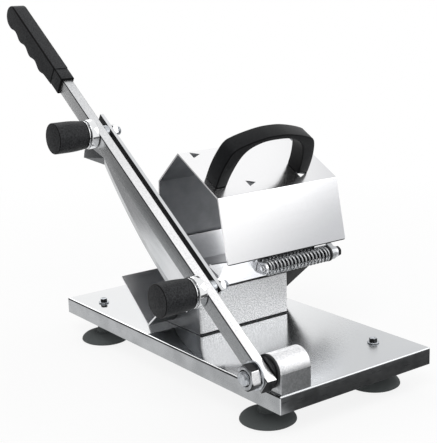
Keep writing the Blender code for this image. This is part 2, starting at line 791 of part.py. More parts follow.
def make_pivot_shaft(arm):
    """Make the shaft that turns with the arm, with its clip, nut and washers."""
    outer_end = nut_face() - PIVOT_NUT_HEIGHT - PIVOT_THREAD_PROUD
    rear_end = HOUSING_REAR - SHAFT_REAR_RECESS
    shoulder = shaft_shoulder()
    profile = [
        (outer_end, 0), (outer_end, SHAFT_ARM_RADIUS - SHAFT_CHAMFER),
        (outer_end + SHAFT_CHAMFER, SHAFT_ARM_RADIUS), (shoulder, SHAFT_ARM_RADIUS),
        (shoulder, SHAFT_RADIUS), (rear_end - SHAFT_CHAMFER, SHAFT_RADIUS),
        (rear_end, SHAFT_RADIUS - SHAFT_CHAMFER), (rear_end, 0),
    ]
    piece("pivot_shaft", turned(profile, steps=FINE_STEPS), ZINC, arm)
    low = HOUSING_REAR - HOUSING_POCKET_DEPTH + GAP
    clip = ring_profile(low, low + CLIP_THICKNESS, SHAFT_RADIUS + RUNNING_GAP, CLIP_RADIUS)
    piece("shaft_clip", turned(clip, steps=FINE_STEPS), DARK_STEEL, arm)
    bore = SHAFT_ARM_RADIUS + GAP
    inner = ring_profile(
        ARM_REAR + GAP, ARM_REAR + GAP + PIVOT_WASHER_THICKNESS, bore, PIVOT_WASHER_RADIUS
    )
    piece("pivot_washer_inner", turned(inner, steps=FINE_STEPS), ZINC, arm)
    outer = ring_profile(
        ARM_FRONT - GAP - PIVOT_WASHER_THICKNESS, ARM_FRONT - GAP, bore, PIVOT_WASHER_RADIUS
    )
    piece("pivot_washer_outer", turned(outer, steps=FINE_STEPS), ZINC, arm)
    nut = hexagon_nut(nut_face() - PIVOT_NUT_HEIGHT, nut_face(), PIVOT_NUT_FLATS, bore)
    piece("pivot_nut", nut, CHROME, arm)


# Lever arm, grip and blade, in the arm's frame: Y along the arm, Z across it

def make_arm(arm):
    """Make the square-ended steel bar with its pivot hole and clamp holes."""
    end = GRIP_START + ARM_INTO_GRIP
    half = ARM_HEIGHT / 2
    shape = soften(box((ARM_FRONT, -ARM_HEEL, -half), (ARM_REAR, end, half)), ARM_EDGE, segments=1)
    bar = piece("lever_arm", shape, GROUND_STEEL, arm, round_shape=False)
    low, high = ARM_FRONT - OVERRUN, ARM_REAR + OVERRUN
    holes = (
        ("pivot", 0, SHAFT_ARM_RADIUS + GAP),
        ("lower", CLAMP_LOWER, CLAMP_STUD_RADIUS + GAP),
        ("upper", CLAMP_UPPER, CLAMP_STUD_RADIUS + GAP),
    )
    for label, along, radius in holes:
        hole = turned(rod_profile(low, high, radius), "X", (0, along, 0), FINE_STEPS)
        combine(bar, "arm_hole_" + label, hole)


def grip_outline():
    """Return the grip's side outline as (along, across) points, across being upwards.

    The top is straight, the tip is half an ellipse, and the underside has shallow
    finger scallops that follow a cosine.
    """
    tip = GRIP_LENGTH - GRIP_TIP_LENGTH
    points = [(GRIP_FERRULE_LENGTH, GRIP_TOP)]
    low = -grip_depth(tip)
    middle = (GRIP_TOP + low) / 2
    for step in range(GRIP_TIP_STEPS + 1):
        angle = math.pi / 2 - math.pi * step / GRIP_TIP_STEPS
        points.append((
            tip + GRIP_TIP_LENGTH * math.cos(angle), middle + (GRIP_TOP - middle) * math.sin(angle)
        ))
    for step in range(1, GRIP_OUTLINE_STEPS + 1):
        along = tip + (GRIP_FERRULE_LENGTH - tip) * step / GRIP_OUTLINE_STEPS
        points.append((along, -grip_depth(along)))
    return points


def grip_depth(along):
    """Return how far the grip's underside lies below the arm's axis."""
    if along >= GRIP_SCALLOP_START:
        wave = math.cos(math.tau * (along - GRIP_FIRST_CREST) / GRIP_SCALLOP_PITCH)
        return GRIP_BELLY + GRIP_SCALLOP * wave
    share = (along - GRIP_FERRULE_LENGTH) / (GRIP_SCALLOP_START - GRIP_FERRULE_LENGTH)
    trough = GRIP_BELLY - GRIP_SCALLOP
    return GRIP_FERRULE_BOTTOM + (trough - GRIP_FERRULE_BOTTOM) * max(share, 0)


def inset_outline(points, distance):
    """Move an outline's points inwards along the mean of their edges' normals."""
    count = len(points)
    moved = []
    for index, (along, across) in enumerate(points):
        before, after = points[index - 1], points[(index + 1) % count]
        first = Vector((along - before[0], across - before[1])).normalized()
        second = Vector((after[0] - along, after[1] - across)).normalized()
        direction = first + second
        normal = Vector((direction.y, -direction.x)).normalized()
        spread = max(normal.dot(Vector((first.y, -first.x))), 0.5)
        moved.append((along + normal.x * distance / spread, across + normal.y * distance / spread))
    return moved


def make_grip(arm):
    """Mould the grip: its outline carried across with rounded edges, and a socket."""
    outline = grip_outline()
    shape = bmesh.new()
    middle = (ARM_FRONT + ARM_REAR) / 2
    half = GRIP_WIDTH / 2
    rings = []
    for side in (-1, 1):
        for step in range(GRIP_ROUND_STEPS + 1):
            angle = math.pi / 2 * (step if side > 0 else GRIP_ROUND_STEPS - step) / GRIP_ROUND_STEPS
            across = half - GRIP_ROUNDING + GRIP_ROUNDING * math.sin(angle)
            inward = GRIP_ROUNDING * (1 - math.cos(angle))
            ring = inset_outline(outline, inward)
            rings.append([
                shape.verts.new((middle + side * across, GRIP_START + y, z)) for y, z in ring
            ])
    for ring, following in zip(rings, rings[1:]):
        join_rings(shape, ring, following, len(ring))
    shape.faces.new(rings[0])
    shape.faces.new(rings[-1])
    grip = piece("hand_grip", shape, BLACK_PLASTIC, arm)
    step = GRIP_FERRULE_STEP
    ferrule = box(
        (middle - half + step, GRIP_START, -GRIP_FERRULE_BOTTOM + step),
        (middle + half - step, GRIP_START + GRIP_FERRULE_LENGTH + OVERRUN, GRIP_TOP - step),
    )
    combine(grip, "grip_ferrule", soften(ferrule, GRIP_FERRULE_STEP, segments=1), operation="UNION")
    socket = box(
        (ARM_FRONT - GAP, GRIP_START - OVERRUN, -ARM_HEIGHT / 2 - GAP),
        (ARM_REAR + GAP, GRIP_START + ARM_INTO_GRIP + GAP, ARM_HEIGHT / 2 + GAP),
    )
    combine(grip, "grip_socket", socket)


def blade_edge_depth(share):
    """Return the cutting edge's depth: the line between its ends plus a parabola."""
    straight = BLADE_HEEL_DEPTH + (BLADE_EDGE_END_DEPTH - BLADE_HEEL_DEPTH) * share
    return straight + BLADE_BELLY * share * (1 - share) * 2 * 2


def blade_rings():
    """Return the blade's outline on its front face and again on its back, as (along, up).

    The back has the full outline. On the front face the cutting edge is set in by the
    grind, so the band between them slopes. The point at the handle end keeps its outline.
    """
    full = [(BLADE_END, BLADE_TOP), (BLADE_START, BLADE_TOP)]
    front = list(full)
    slant = Vector((BLADE_START - BLADE_HEEL, BLADE_TOP + BLADE_HEEL_DEPTH)).normalized()
    for step in range(BLADE_STATIONS + 1):
        share = step / BLADE_STATIONS
        along = BLADE_HEEL + (BLADE_EDGE_END - BLADE_HEEL) * share
        edge = (along, -blade_edge_depth(share))
        full.append(edge)
        if step == 0:
            front.append((edge[0] + slant.x * BLADE_GRIND, edge[1] + slant.y * BLADE_GRIND))
        else:
            front.append((along, edge[1] + BLADE_GRIND))
    beak = [
        (BLADE_BEAK_CORNER, -BLADE_BEAK_CORNER_DEPTH), (BLADE_BEAK_TIP, -BLADE_BEAK_TIP_DEPTH),
        (BLADE_END, -BLADE_BEAK_ROOT_DEPTH),
    ]
    return front + beak, full + beak


def make_blade(arm):
    """Make the blade: a plate with a bowed, ground edge and a thinned point."""
    front_x = ARM_REAR + BLADE_GAP
    back_x = front_x + BLADE_THICKNESS
    front, full = blade_rings()
    thin = {len(front) - 3, len(front) - 2}
    shape = bmesh.new()
    rings = [
        [
            shape.verts.new((back_x - BLADE_BEAK_EDGE if index in thin else front_x, along, up))
            for index, (along, up) in enumerate(front)
        ],
        [shape.verts.new((back_x - BLADE_LAND, along, up)) for along, up in full],
        [shape.verts.new((back_x, along, up)) for along, up in full],
    ]
    for ring, following in zip(rings, rings[1:]):
        join_rings(shape, ring, following, len(ring))
    flat = [vert for index, vert in enumerate(rings[0]) if index not in thin]
    shape.faces.new(flat)
    last_edge, corner, tip, root = rings[0][-4:]
    shape.faces.new((last_edge, corner, tip, root))
    shape.faces.new(rings[-1])
    blade = piece("blade", shape, GROUND_STEEL, arm, round_shape=False)
    for label, along in clamp_places():
        hole = rod_profile(front_x - OVERRUN, back_x + OVERRUN, CLAMP_STUD_RADIUS + GAP)
        combine(blade, "blade_hole_" + label, turned(hole, "X", (0, along, 0), FINE_STEPS))


def clamp_places():
    """Return the two clamps' names and their places along the arm."""
    return ("lower", CLAMP_LOWER), ("upper", CLAMP_UPPER)


def ring_front():
    """Return the outer face of the thin ring under a clamp knob."""
    return ARM_FRONT - GAP - COLLAR_LENGTH - RING_STANDOFF - RING_THICKNESS


def make_clamp(arm, label, along):
    """Make one blade clamp: stud, nut, spacer, collar and the ring under the knob."""
    centre = (0, along, 0)
    blade_back = ARM_REAR + BLADE_GAP + BLADE_THICKNESS
    nut_low = blade_back + GAP
    stud_front = ring_front() - GAP - INSERT_LENGTH
    stud_rear = nut_low + CLAMP_NUT_HEIGHT + CLAMP_STUD_PROUD
    stud = rod_profile(stud_front, stud_rear, CLAMP_STUD_RADIUS, SHAFT_CHAMFER)
    piece("clamp_stud_" + label, turned(stud, steps=FINE_STEPS), ZINC, arm, centre)
    bore = CLAMP_STUD_RADIUS + GAP
    nut = hexagon_nut(nut_low, nut_low + CLAMP_NUT_HEIGHT, CLAMP_NUT_FLATS, bore)
    piece("clamp_nut_" + label, nut, CHROME, arm, centre)
    spacer = ring_profile(ARM_REAR + GAP, ARM_REAR + BLADE_GAP - GAP, bore, SPACER_RADIUS)
    piece("blade_spacer_" + label, turned(spacer), ZINC, arm, centre)
    collar_rear = ARM_FRONT - GAP
    collar = ring_profile(collar_rear - COLLAR_LENGTH, collar_rear, bore, COLLAR_RADIUS, COLLAR_EDGE)
    piece("collar_" + label, turned(collar, steps=FINE_STEPS), CHROME, arm, centre)
    ring_rear = ring_front() + RING_THICKNESS
    neck = (RING_RADIUS + bore) / 2
    ring = [
        (ring_front(), bore), (ring_front(), RING_RADIUS), (ring_rear, RING_RADIUS),
        (ring_rear, neck), (ring_rear + RING_STANDOFF - GAP, neck),
        (ring_rear + RING_STANDOFF - GAP, bore),
    ]
    piece("knob_ring_" + label, turned(ring, steps=FINE_STEPS), CHROME, arm, centre)


def make_knob(axis, label):
    """Turn one clamp knob, in the frame of its own axis, with its threaded insert."""
    rear = ring_front() - GAP
    front = rear - KNOB_LENGTH
    edge = KNOB_EDGE
    bore = INSERT_RADIUS + GAP
    floor = rear - INSERT_LENGTH - GAP - GAP
    profile = [(front - KNOB_DOME, 0), (front, KNOB_RADIUS - edge)]
    edge_steps = 3
    for step in range(1, edge_steps + 1):
        angle = math.pi / 2 * step / edge_steps
        profile.append((
            front + edge * (1 - math.cos(angle)), KNOB_RADIUS - edge + edge * math.sin(angle)
        ))
    waist = front + KNOB_LENGTH * KNOB_WAIST_SHARE
    for step in range(KNOB_TAPER_STEPS + 1):
        share = step / KNOB_TAPER_STEPS
        taper = (KNOB_RADIUS - KNOB_REAR_RADIUS) * (1 - math.cos(math.pi / 2 * share))
        profile.append((waist + (rear - edge / 2 - waist) * share, KNOB_RADIUS - taper))
    profile += [(rear, KNOB_REAR_RADIUS - edge / 2), (rear, bore), (floor, bore), (floor, 0)]
    piece("knob_" + label, turned(profile, steps=FINE_STEPS), BLACK_PLASTIC, axis)
    insert = ring_profile(rear - INSERT_LENGTH, rear, CLAMP_STUD_RADIUS + GAP, INSERT_RADIUS)
    piece("knob_insert_" + label, turned(insert, steps=FINE_STEPS), BRASS, axis)


# Guide rod, lugs and spring

def wall_outer(z):
    """Return the outer Y of the trough's near wall at a height."""
    share = (z - TROUGH_FOLD_Z) / (TROUGH_TOP_Z - TROUGH_FOLD_Z)
    return trough_wall_point(share, -1)[0]


def make_front_lug(root):
    """Make the lug, welded to the trough's near wall, that holds the rod's front end."""
    high = ROD_Z + ROD_LUG_RADIUS
    low = ROD_Z - ROD_LUG_RADIUS
    seat = GAP + GAP
    outline = circle((ROD_Y, ROD_Z), ROD_LUG_RADIUS)
    outline += [(wall_outer(low) - seat, low), (wall_outer(high) - seat, high)]
    shape = prism(hull_outline(outline), FRONT_LUG_FRONT, FRONT_LUG_FRONT + ROD_LUG_THICKNESS)
    lug = piece("rod_lug_front", shape, SATIN_STEEL, root, round_shape=False)
    rod_hole(lug, "rod_hole_front", FRONT_LUG_FRONT)


def rod_hole(target, name, front):
    """Drill a lug for the guide rod."""
    hole = rod_profile(front - OVERRUN, front + ROD_LUG_THICKNESS + OVERRUN, ROD_RADIUS + GAP)
    combine(target, name, turned(hole, "X", (0, ROD_Y, ROD_Z), FINE_STEPS))


def make_rear_lug(root):
    """Make the lug behind the trough: a strap inside the near wall, turned out to the rod."""
    strap_low = TROUGH_FOLD_Z + (TROUGH_TOP_Z - TROUGH_FOLD_Z) * REAR_LUG_STRAP_LOW_SHARE
    strap_high = TROUGH_FOLD_Z + (TROUGH_TOP_Z - TROUGH_FOLD_Z) * REAR_LUG_STRAP_HIGH_SHARE
    inside = TROUGH_SHEET + GAP + GAP
    thick = ROD_LUG_THICKNESS
    strap = [
        (wall_outer(strap_low) + inside, strap_low), (wall_outer(strap_low) + inside + thick, strap_low),
        (wall_outer(strap_high) + inside + thick, strap_high), (wall_outer(strap_high) + inside, strap_high),
    ]
    plate = hull_outline(circle((ROD_Y, ROD_Z), ROD_LUG_RADIUS) + strap)
    front = REAR_LUG_FRONT
    plate_shape = prism(plate, front, front + thick)
    lug = piece("rod_lug_rear", plate_shape, SATIN_STEEL, root, round_shape=False)
    shape = prism(strap, REAR_LUG_STRAP_START, front + ROD_LUG_THICKNESS / 2)
    combine(lug, "rear_lug_strap", shape, operation="UNION")
    rod_hole(lug, "rod_hole_rear", front)


def make_rod(root):
    """Make the guide rod and the nut on its rear end."""
    nut_low = REAR_LUG_FRONT + ROD_LUG_THICKNESS + GAP
    rear = nut_low + ROD_NUT_HEIGHT + ROD_REAR_CHAMFER
    centre = (0, ROD_Y, ROD_Z)
    profile = rod_profile(ROD_FRONT, rear, ROD_RADIUS, ROD_REAR_CHAMFER)
    piece("guide_rod", turned(profile, steps=FINE_STEPS), POLISHED_STEEL, root, centre)
    nut = hexagon_nut(nut_low, nut_low + ROD_NUT_HEIGHT, ROD_NUT_FLATS, ROD_RADIUS + GAP)
    piece("rod_nut", nut, DARK_STEEL, root, centre)


def spring_points():
    """Return the spring's centre line, along X about the rod's axis.

    The wire starts straight along X from the front lug, turns into a helix through a
    small round corner, and leaves it the same way towards the bush.
    """
    front = FRONT_LUG_FRONT + ROD_LUG_THICKNESS + GAP
    rear = KNUCKLE_FRONT - GAP - BUSH_COLLAR_THICKNESS - GAP
    corner = SPRING_CORNER
    start = front + SPRING_WIRE + corner
    finish = rear - SPRING_WIRE - corner
    count = SPRING_TURNS * SPRING_POINTS_PER_TURN
    helix = []
    for step in range(count + 1):
        angle = math.tau * step / SPRING_POINTS_PER_TURN
        x = start + (finish - start) * step / count
        helix.append(Vector((x, SPRING_COIL_RADIUS * math.cos(angle), SPRING_COIL_RADIUS * math.sin(angle))))
    lead_in = end_lead(helix[0], helix[0] - helix[1], -1)
    lead_out = end_lead(helix[-1], helix[-1] - helix[-2], 1)
    return lead_in[::-1] + helix + lead_out


def end_lead(point, direction, side):
    """Return the corner and straight end that follow a helix's last point."""
    across = Vector((0, direction.y, direction.z)).normalized()
    along = Vector((side, 0, 0))
    points = []
    for step in range(1, SPRING_CORNER_STEPS + 1):
        angle = math.pi / 2 * step / SPRING_CORNER_STEPS
        points.append(
            point + across * SPRING_CORNER * math.sin(angle) + along * SPRING_CORNER * (1 - math.cos(angle))
        )
    points.append(points[-1] + along * SPRING_WIRE)
    return points


def least_coil_gap(points):
    """Measure the least clear distance between one turn of the wire and the next."""
    reach = SPRING_POINTS_PER_TURN // 2
    least = min(
        (points[first] - points[second]).length
        for first in range(len(points))
        for second in range(first + reach, min(first + 3 * reach, len(points)))
    )
    return least - SPRING_WIRE


def make_spring(root):
    """Wind the return spring as one unbroken wire round the guide rod."""
    points = spring_points()
    gap = least_coil_gap(points)
    print("return spring: least gap between turns %.2f mm" % (gap * 1000))
    if gap < SPRING_SMALLEST_GAP:
        print("return spring: turns are too close")
    curve = bpy.data.curves.new("return_spring", "CURVE")
    curve.dimensions = "3D"
    curve.bevel_depth = SPRING_WIRE / 2
    curve.bevel_resolution = 1
    curve.use_fill_caps = True
    line = curve.splines.new("POLY")
    line.points.add(len(points) - 1)
    for target, point in zip(line.points, points):
        target.co = (*point, 1)
    curve.materials.append(finish_material("return_spring", ZINC))
    spring = bpy.data.objects.new("return_spring", curve)
    bpy.context.collection.objects.link(spring)
    spring.parent = root
    spring.location = (0, ROD_Y, ROD_Z)


# Press cover, laid out from the tray's corner and carried by the rod's axis

def make_slide_bush(slider):
    """Make the collared bush that slides on the rod and carries the cover's knuckle."""
    bore = ROD_RADIUS + RUNNING_GAP
    front = KNUCKLE_FRONT - GAP
    rear = KNUCKLE_FRONT + KNUCKLE_LENGTH
    profile = [
        (front - BUSH_COLLAR_THICKNESS, bore), (front - BUSH_COLLAR_THICKNESS, BUSH_COLLAR_RADIUS),
        (front, BUSH_COLLAR_RADIUS), (front, BUSH_SLEEVE_RADIUS), (rear, BUSH_SLEEVE_RADIUS), (rear, bore),
    ]
    piece("slide_bush", turned(profile, steps=FINE_STEPS), BLACK_NYLON, slider)


def make_knuckle(hinge):
    """Make the cover's knuckle, a drop-shaped lug round the bush."""
    top = COVER_NEAR_Z - ROD_Z - GAP
    near = COVER_NEAR_Y - ROD_Y
    outline = hull_outline(
        circle((0, 0), KNUCKLE_RADIUS) + [(near, top), (near + COVER_SHEET, top)]
    )
    shape = prism(outline, KNUCKLE_FRONT, KNUCKLE_FRONT + KNUCKLE_LENGTH)
    knuckle = piece("cover_knuckle", shape, SATIN_STEEL, hinge)
    hole = rod_profile(
        KNUCKLE_FRONT - OVERRUN, KNUCKLE_FRONT + KNUCKLE_LENGTH + OVERRUN, BUSH_SLEEVE_RADIUS + RUNNING_GAP
    )
    combine(knuckle, "knuckle_bore", turned(hole, steps=FINE_STEPS))


def roof_angle():
    """Return the slope of the cover's near roof."""
    return math.atan2(COVER_RIDGE_Z - COVER_FOLD_Z, COVER_RIDGE_Y - COVER_FOLD_Y)


def cover_frame(hinge):
    """Make the empty that lies on the near roof's outer face at the cover's front edge."""
    place = (COVER_FRONT, COVER_FOLD_Y - ROD_Y, COVER_FOLD_Z - ROD_Z)
    return empty("roof_frame", hinge, place, roof_angle())


def make_cover(hinge):
    """Fold the cover from one sheet and cut the openings its teeth are punched from."""
    front, rear = COVER_FRONT, COVER_FRONT + COVER_LENGTH
    corner = COVER_CORNER
    profile = [
        (COVER_NEAR_Y, COVER_NEAR_Z), (COVER_FOLD_Y, COVER_FOLD_Z), (COVER_RIDGE_Y, COVER_RIDGE_Z),
        (COVER_FAR_FOLD_Y, COVER_FAR_FOLD_Z), (COVER_FAR_Y, COVER_NEAR_Z),
    ]
    local = [(y - ROD_Y, z - ROD_Z) for y, z in profile]
    faces = []
    last = len(local) - 2
    for index, (low, high) in enumerate(zip(local, local[1:])):
        if index in (0, last):
            edge, fold = (low, high) if index == 0 else (high, low)
            share = corner / math.dist(edge, fold)
            side = tuple(e + (f - e) * share for e, f in zip(edge, fold))
            face = [
                (front, *side), (front, *fold), (rear, *fold), (rear, *side),
                (rear - corner, *edge), (front + corner, *edge),
            ]
            faces.append(face if index == 0 else face[::-1])
            continue
        faces.append([(front, *low), (front, *high), (rear, *high), (rear, *low)])
    cover = sheet_piece("press_cover", [face[::-1] for face in faces], COVER_SHEET, POLISHED_STEEL, hinge)
    return cover


def tooth_places():
    """Return each tooth's place on the near roof, from its front edge and its fold."""
    high = [(TOOTH_HIGH_START + TOOTH_PITCH * index, TOOTH_HIGH_ROW) for index in range(TOOTH_HIGH_COUNT)]
    low = [(TOOTH_LOW_START + TOOTH_PITCH * index, TOOTH_LOW_ROW) for index in range(TOOTH_LOW_COUNT)]
    return high + low


def roof_prism(outline, low, high, shape):
    """Carry an outline in the roof's plane from one height to another."""
    under = [shape.verts.new((x, y, low)) for x, y in outline]
    over = [shape.verts.new((x, y, high)) for x, y in outline]
    shape.faces.new(under)
    shape.faces.new(over)
    for index in range(len(outline)):
        after = (index + 1) % len(outline)
        shape.faces.new((under[index], under[after], over[after], over[index]))
    return shape


def make_teeth(cover, roof):
    """Punch the teeth: cut each triangle from the roof and turn it down as a spike."""
    half = TOOTH_WIDTH / 2
    for index, (x, y) in enumerate(tooth_places()):
        opening = [(x, y - half), (x, y + half), (x + TOOTH_LENGTH, y)]
        shape = roof_prism(opening, -COVER_SHEET - OVERRUN, OVERRUN, bmesh.new())
        combine(cover, "tooth_opening_%d" % index, shape, parent=roof)
        base = -COVER_SHEET / 2
        tip = -COVER_SHEET - TOOTH_LENGTH
        spike = [(y - half, base), (y + half, base), (y + TOOTH_TIP, tip), (y - TOOTH_TIP, tip)]
        tooth = prism(spike, x - COVER_SHEET, x - RUNNING_GAP)
        combine(cover, "tooth_%d" % index, tooth, parent=roof, operation="UNION")


def mirrored(shares):
    """Return a half outline's points followed by their mirror images."""
    return list(shares) + [(-across, up) for across, up in reversed(shares)]


def smoothed(points):
    """Cut every inner corner of a line of points once, keeping its two ends."""
    smooth = [points[0]]
    for first, second in zip(points, points[1:]):
        for share in (BOW_SMOOTHING_SHARE, 1 - BOW_SMOOTHING_SHARE):
            smooth.append(tuple(a + (b - a) * share for a, b in zip(first, second)))
    return smooth + [points[-1]]


def make_bow_handle(roof):
    """Mould the bow handle: flat legs under a gently arched bar, square in section."""
    half = BOW_WIDTH / 2
    outer, inner = (
        [(-across * half, up * BOW_HEIGHT) for across, up in smoothed(mirrored(shares))]
        for shares in (BOW_OUTER_SHARES, BOW_INNER_SHARES)
    )
    outline = outer + inner[::-1]
    shape = bmesh.new()
    near = [shape.verts.new((x, 0, z)) for x, z in outline]
    far = [shape.verts.new((x, BOW_DEPTH, z)) for x, z in outline]
    shape.faces.new(near)
    shape.faces.new(far)
    count = len(outline)
    for index in range(count):
        after = (index + 1) % count
        shape.faces.new((near[index], near[after], far[after], far[index]))
    cap_edges = {edge for edge in shape.edges if len({round(vert.co.y, 6) for vert in edge.verts}) == 1}
    soften(shape, BOW_EDGE, lambda edge: edge in cap_edges, 2)
    place = (BOW_CENTRE_X - COVER_FRONT, BOW_SETBACK, GAP)
    handle = piece("bow_handle", shape, BLACK_PLASTIC, roof, place)
    for index, x in enumerate(bow_screw_places()):
        hole = rod_profile(-OVERRUN, BOW_SCREW_DEPTH + GAP, BOW_SCREW_RADIUS + GAP)
        thread = turned(hole, "Z", (x, BOW_DEPTH / 2, 0), SMALL_STEPS)
        combine(handle, "bow_thread_%d" % index, thread)


def bow_screw_places():
    """Return the two bow screws' places, from the handle's middle."""
    across = BOW_WIDTH / 2 - BOW_SCREW_INSET
    return -across, across


def make_bow_screws(cover, roof):
    """Make the screws that hold the bow handle from under the roof."""
    under = -COVER_SHEET - GAP
    head = under - BOW_SCREW_HEAD_HEIGHT
    top = GAP + BOW_SCREW_DEPTH
    profile = [
        (head, 0), (head, BOW_SCREW_HEAD_RADIUS), (under, BOW_SCREW_HEAD_RADIUS),
        (under, BOW_SCREW_RADIUS), (top, BOW_SCREW_RADIUS), (top, 0),
    ]
    for index, across in enumerate(bow_screw_places()):
        place = (BOW_CENTRE_X - COVER_FRONT + across, BOW_SETBACK + BOW_DEPTH / 2, 0)
        shape = turned(profile, "Z", steps=SMALL_STEPS)
        piece("bow_screw_%d" % (index + 1), shape, ZINC, roof, place)
        hole = rod_profile(-COVER_SHEET - OVERRUN, OVERRUN, BOW_SCREW_RADIUS + GAP)
        drill = turned(hole, "Z", place, SMALL_STEPS)
        combine(cover, "bow_hole_%d" % index, drill, parent=roof)


def stand_on_origin(root):
    """Move the root so the whole part is centred over the origin with its feet on Z = 0."""
    bpy.context.view_layer.update()
    shown = bpy.context.evaluated_depsgraph_get()
    low, high = Vector((math.inf,) * 3), Vector((-math.inf,) * 3)
    for made in bpy.data.objects:
        if made.type == "EMPTY" or made.hide_render:
            continue
        solid = made.evaluated_get(shown)
        for vert in solid.to_mesh().vertices:
            point = made.matrix_world @ vert.co
            low = Vector(map(min, low, point))
            high = Vector(map(max, high, point))
        solid.to_mesh_clear()
    root.location = (-(low.x + high.x) / 2, -(low.y + high.y) / 2, -low.z)


def main():
    """Build every piece and stand the whole on the origin."""
    clear_scene()
    root = empty("slicer_root")
    make_base(root)
    make_feet(root)
    make_foot_screws(root)
    make_stand(root)
    make_stand_screws(root)
    make_trough(root)
    make_cover_ledge(root)
    make_housing(root)
    make_housing_screws(root)
    make_pivot_bushes(root)
    arm = empty("arm_pivot", root, (0, PIVOT_Y, PIVOT_Z), ARM_REST_ANGLE)
    make_pivot_shaft(arm)
    make_arm(arm)
    make_grip(arm)
    make_blade(arm)
    for label, along in clamp_places():
        make_clamp(arm, label, along)
        make_knob(empty("knob_axis_" + label, arm, (0, along, 0)), label)
    make_front_lug(root)
    make_rear_lug(root)
    make_rod(root)
    make_spring(root)
    slider = empty("rod_axis", root, (0, ROD_Y, ROD_Z))
    make_slide_bush(slider)
    hinge = empty("cover_hinge", slider)
    make_knuckle(hinge)
    cover = make_cover(hinge)
    roof = cover_frame(hinge)
    make_teeth(cover, roof)
    make_bow_handle(roof)
    make_bow_screws(cover, roof)
    stand_on_origin(root)


main()
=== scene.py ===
"""Looks of the hand-levered slicer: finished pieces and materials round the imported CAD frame.

All lengths are in metres. Most shapes are laid out in one of four places: the base
(the tray's front corner, with its top at Z = 0), the arm (Y along the arm, Z across it),
the rod (X along the guide rod) and the roof (the cover's near roof, Z out of it).
"""

import json
import logging
import math
from dataclasses import dataclass, field
from enum import Enum

import bmesh
import bpy
import numpy as np
from mathutils import Matrix, Vector
from mathutils.geometry import delaunay_2d_cdt
from numpy.typing import NDArray


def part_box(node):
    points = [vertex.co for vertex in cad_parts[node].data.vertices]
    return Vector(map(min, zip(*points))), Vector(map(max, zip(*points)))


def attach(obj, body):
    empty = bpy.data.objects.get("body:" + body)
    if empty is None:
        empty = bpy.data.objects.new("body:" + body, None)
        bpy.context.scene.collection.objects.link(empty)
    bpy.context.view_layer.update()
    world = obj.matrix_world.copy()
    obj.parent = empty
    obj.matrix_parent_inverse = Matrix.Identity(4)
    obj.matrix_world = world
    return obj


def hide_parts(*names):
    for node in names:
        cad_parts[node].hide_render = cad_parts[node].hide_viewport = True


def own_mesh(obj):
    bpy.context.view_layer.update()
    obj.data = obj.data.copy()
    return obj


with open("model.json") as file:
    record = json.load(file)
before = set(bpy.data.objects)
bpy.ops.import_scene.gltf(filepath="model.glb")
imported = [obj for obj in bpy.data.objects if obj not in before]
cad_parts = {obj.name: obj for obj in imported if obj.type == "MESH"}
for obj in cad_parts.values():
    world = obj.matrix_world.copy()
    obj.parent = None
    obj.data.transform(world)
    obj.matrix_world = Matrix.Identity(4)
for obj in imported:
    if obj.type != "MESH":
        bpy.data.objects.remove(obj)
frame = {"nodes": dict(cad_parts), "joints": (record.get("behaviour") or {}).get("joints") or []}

Points = NDArray[np.float64]
Chosen = NDArray[np.bool_]
Tree = bpy.types.NodeTree
Node = bpy.types.Node
Socket = bpy.types.NodeSocket
Piece = bpy.types.Object
Pair = tuple[float, float]
Spot = tuple[float, float, float]
log = logging.getLogger("slicer")

# Edges stay sharp that turn by more than this, and on folded sheet by more than that.
SHARP_ANGLE = math.radians(33)
FOLD_ANGLE = math.radians(20)
# How many parts a full turn has on a lathed piece, and on a nut or the housing.
ROUND = 96
FINE_ROUND = 144
# The play between pieces, and the small radius that turned ends leave on their axis.
GAP = 0.0003
PIP = 0.0005
# How far a normal reaches along an axis that its face is square to, that it nearly looks
# along, and that it leans to.
FLAT = 0.999
FACING = 0.9
LEANING = 0.5
# The radius of a broken edge, and of a finer one.
EDGE = 0.0003
FINE_EDGE = 0.0002
# How far two forms of one piece run into each other, and a length that counts as zero.
OVERLAP = 0.001
TINY = 1e-12


class Body(Enum):
    """The CAD bodies that pieces ride on."""

    FRAME = "frame"
    ARM = "cutting_arm"
    KNOB_LOWER = "knob_lower"
    KNOB_UPPER = "knob_upper"
    COVER = "press_cover"


class Slot(Enum):
    """The record's material slots, listed beside some finished pieces but not used."""

    POLISHED = "polished_steel"
    SATIN = "satin_steel"
    GROUND = "ground_steel"
    CHROME = "chrome"
    ZINC = "zinc"
    DARK = "dark_steel"
    PLASTIC = "black_plastic"
    NYLON = "black_nylon"
    RUBBER = "grey_rubber"


class Clamp(Enum):
    """The two clamps that hold the blade, and how far along the arm they sit."""

    LOWER = 0.0882
    UPPER = 0.2832


# Colours and node helpers


def linear(hex_colour: str) -> tuple[float, float, float, float]:
    """Turn an sRGB hex colour into linear RGBA.

    Args:
        hex_colour: six hex digits after a hash sign.

    Returns:
        The linear red, green and blue, and an alpha of one.
    """
    values = [int(hex_colour[start:start + 2], 16) / 255 for start in (1, 3, 5)]
    red, green, blue = (
        value / 12.92 if value <= 0.04045 else ((value + 0.055) / 1.055) ** 2.4 for value in values
    )
    return red, green, blue, 1.0


WHITE = linear("#FFFFFF")


def add_node(
    tree: Tree, kind: str, values: dict[str | int, object] | None = None, **settings: object
) -> Node:
    """Add a shader node; a value that is a socket is linked, any other is set.

    Args:
        tree: the node tree that gets the node.
        kind: the node's type, without its ShaderNode prefix.
        values: what goes into the node's input sockets.
        **settings: the node's own properties.

    Returns:
        The new node.
    """
    node = tree.nodes.new("ShaderNode" + kind)
    for name, value in settings.items():
        setattr(node, name, value)
    for socket, value in (values or {}).items():
        if isinstance(value, Socket):
            tree.links.new(value, node.inputs[socket])
        else:
            node.inputs[socket].default_value = value
    return node


# Finishes


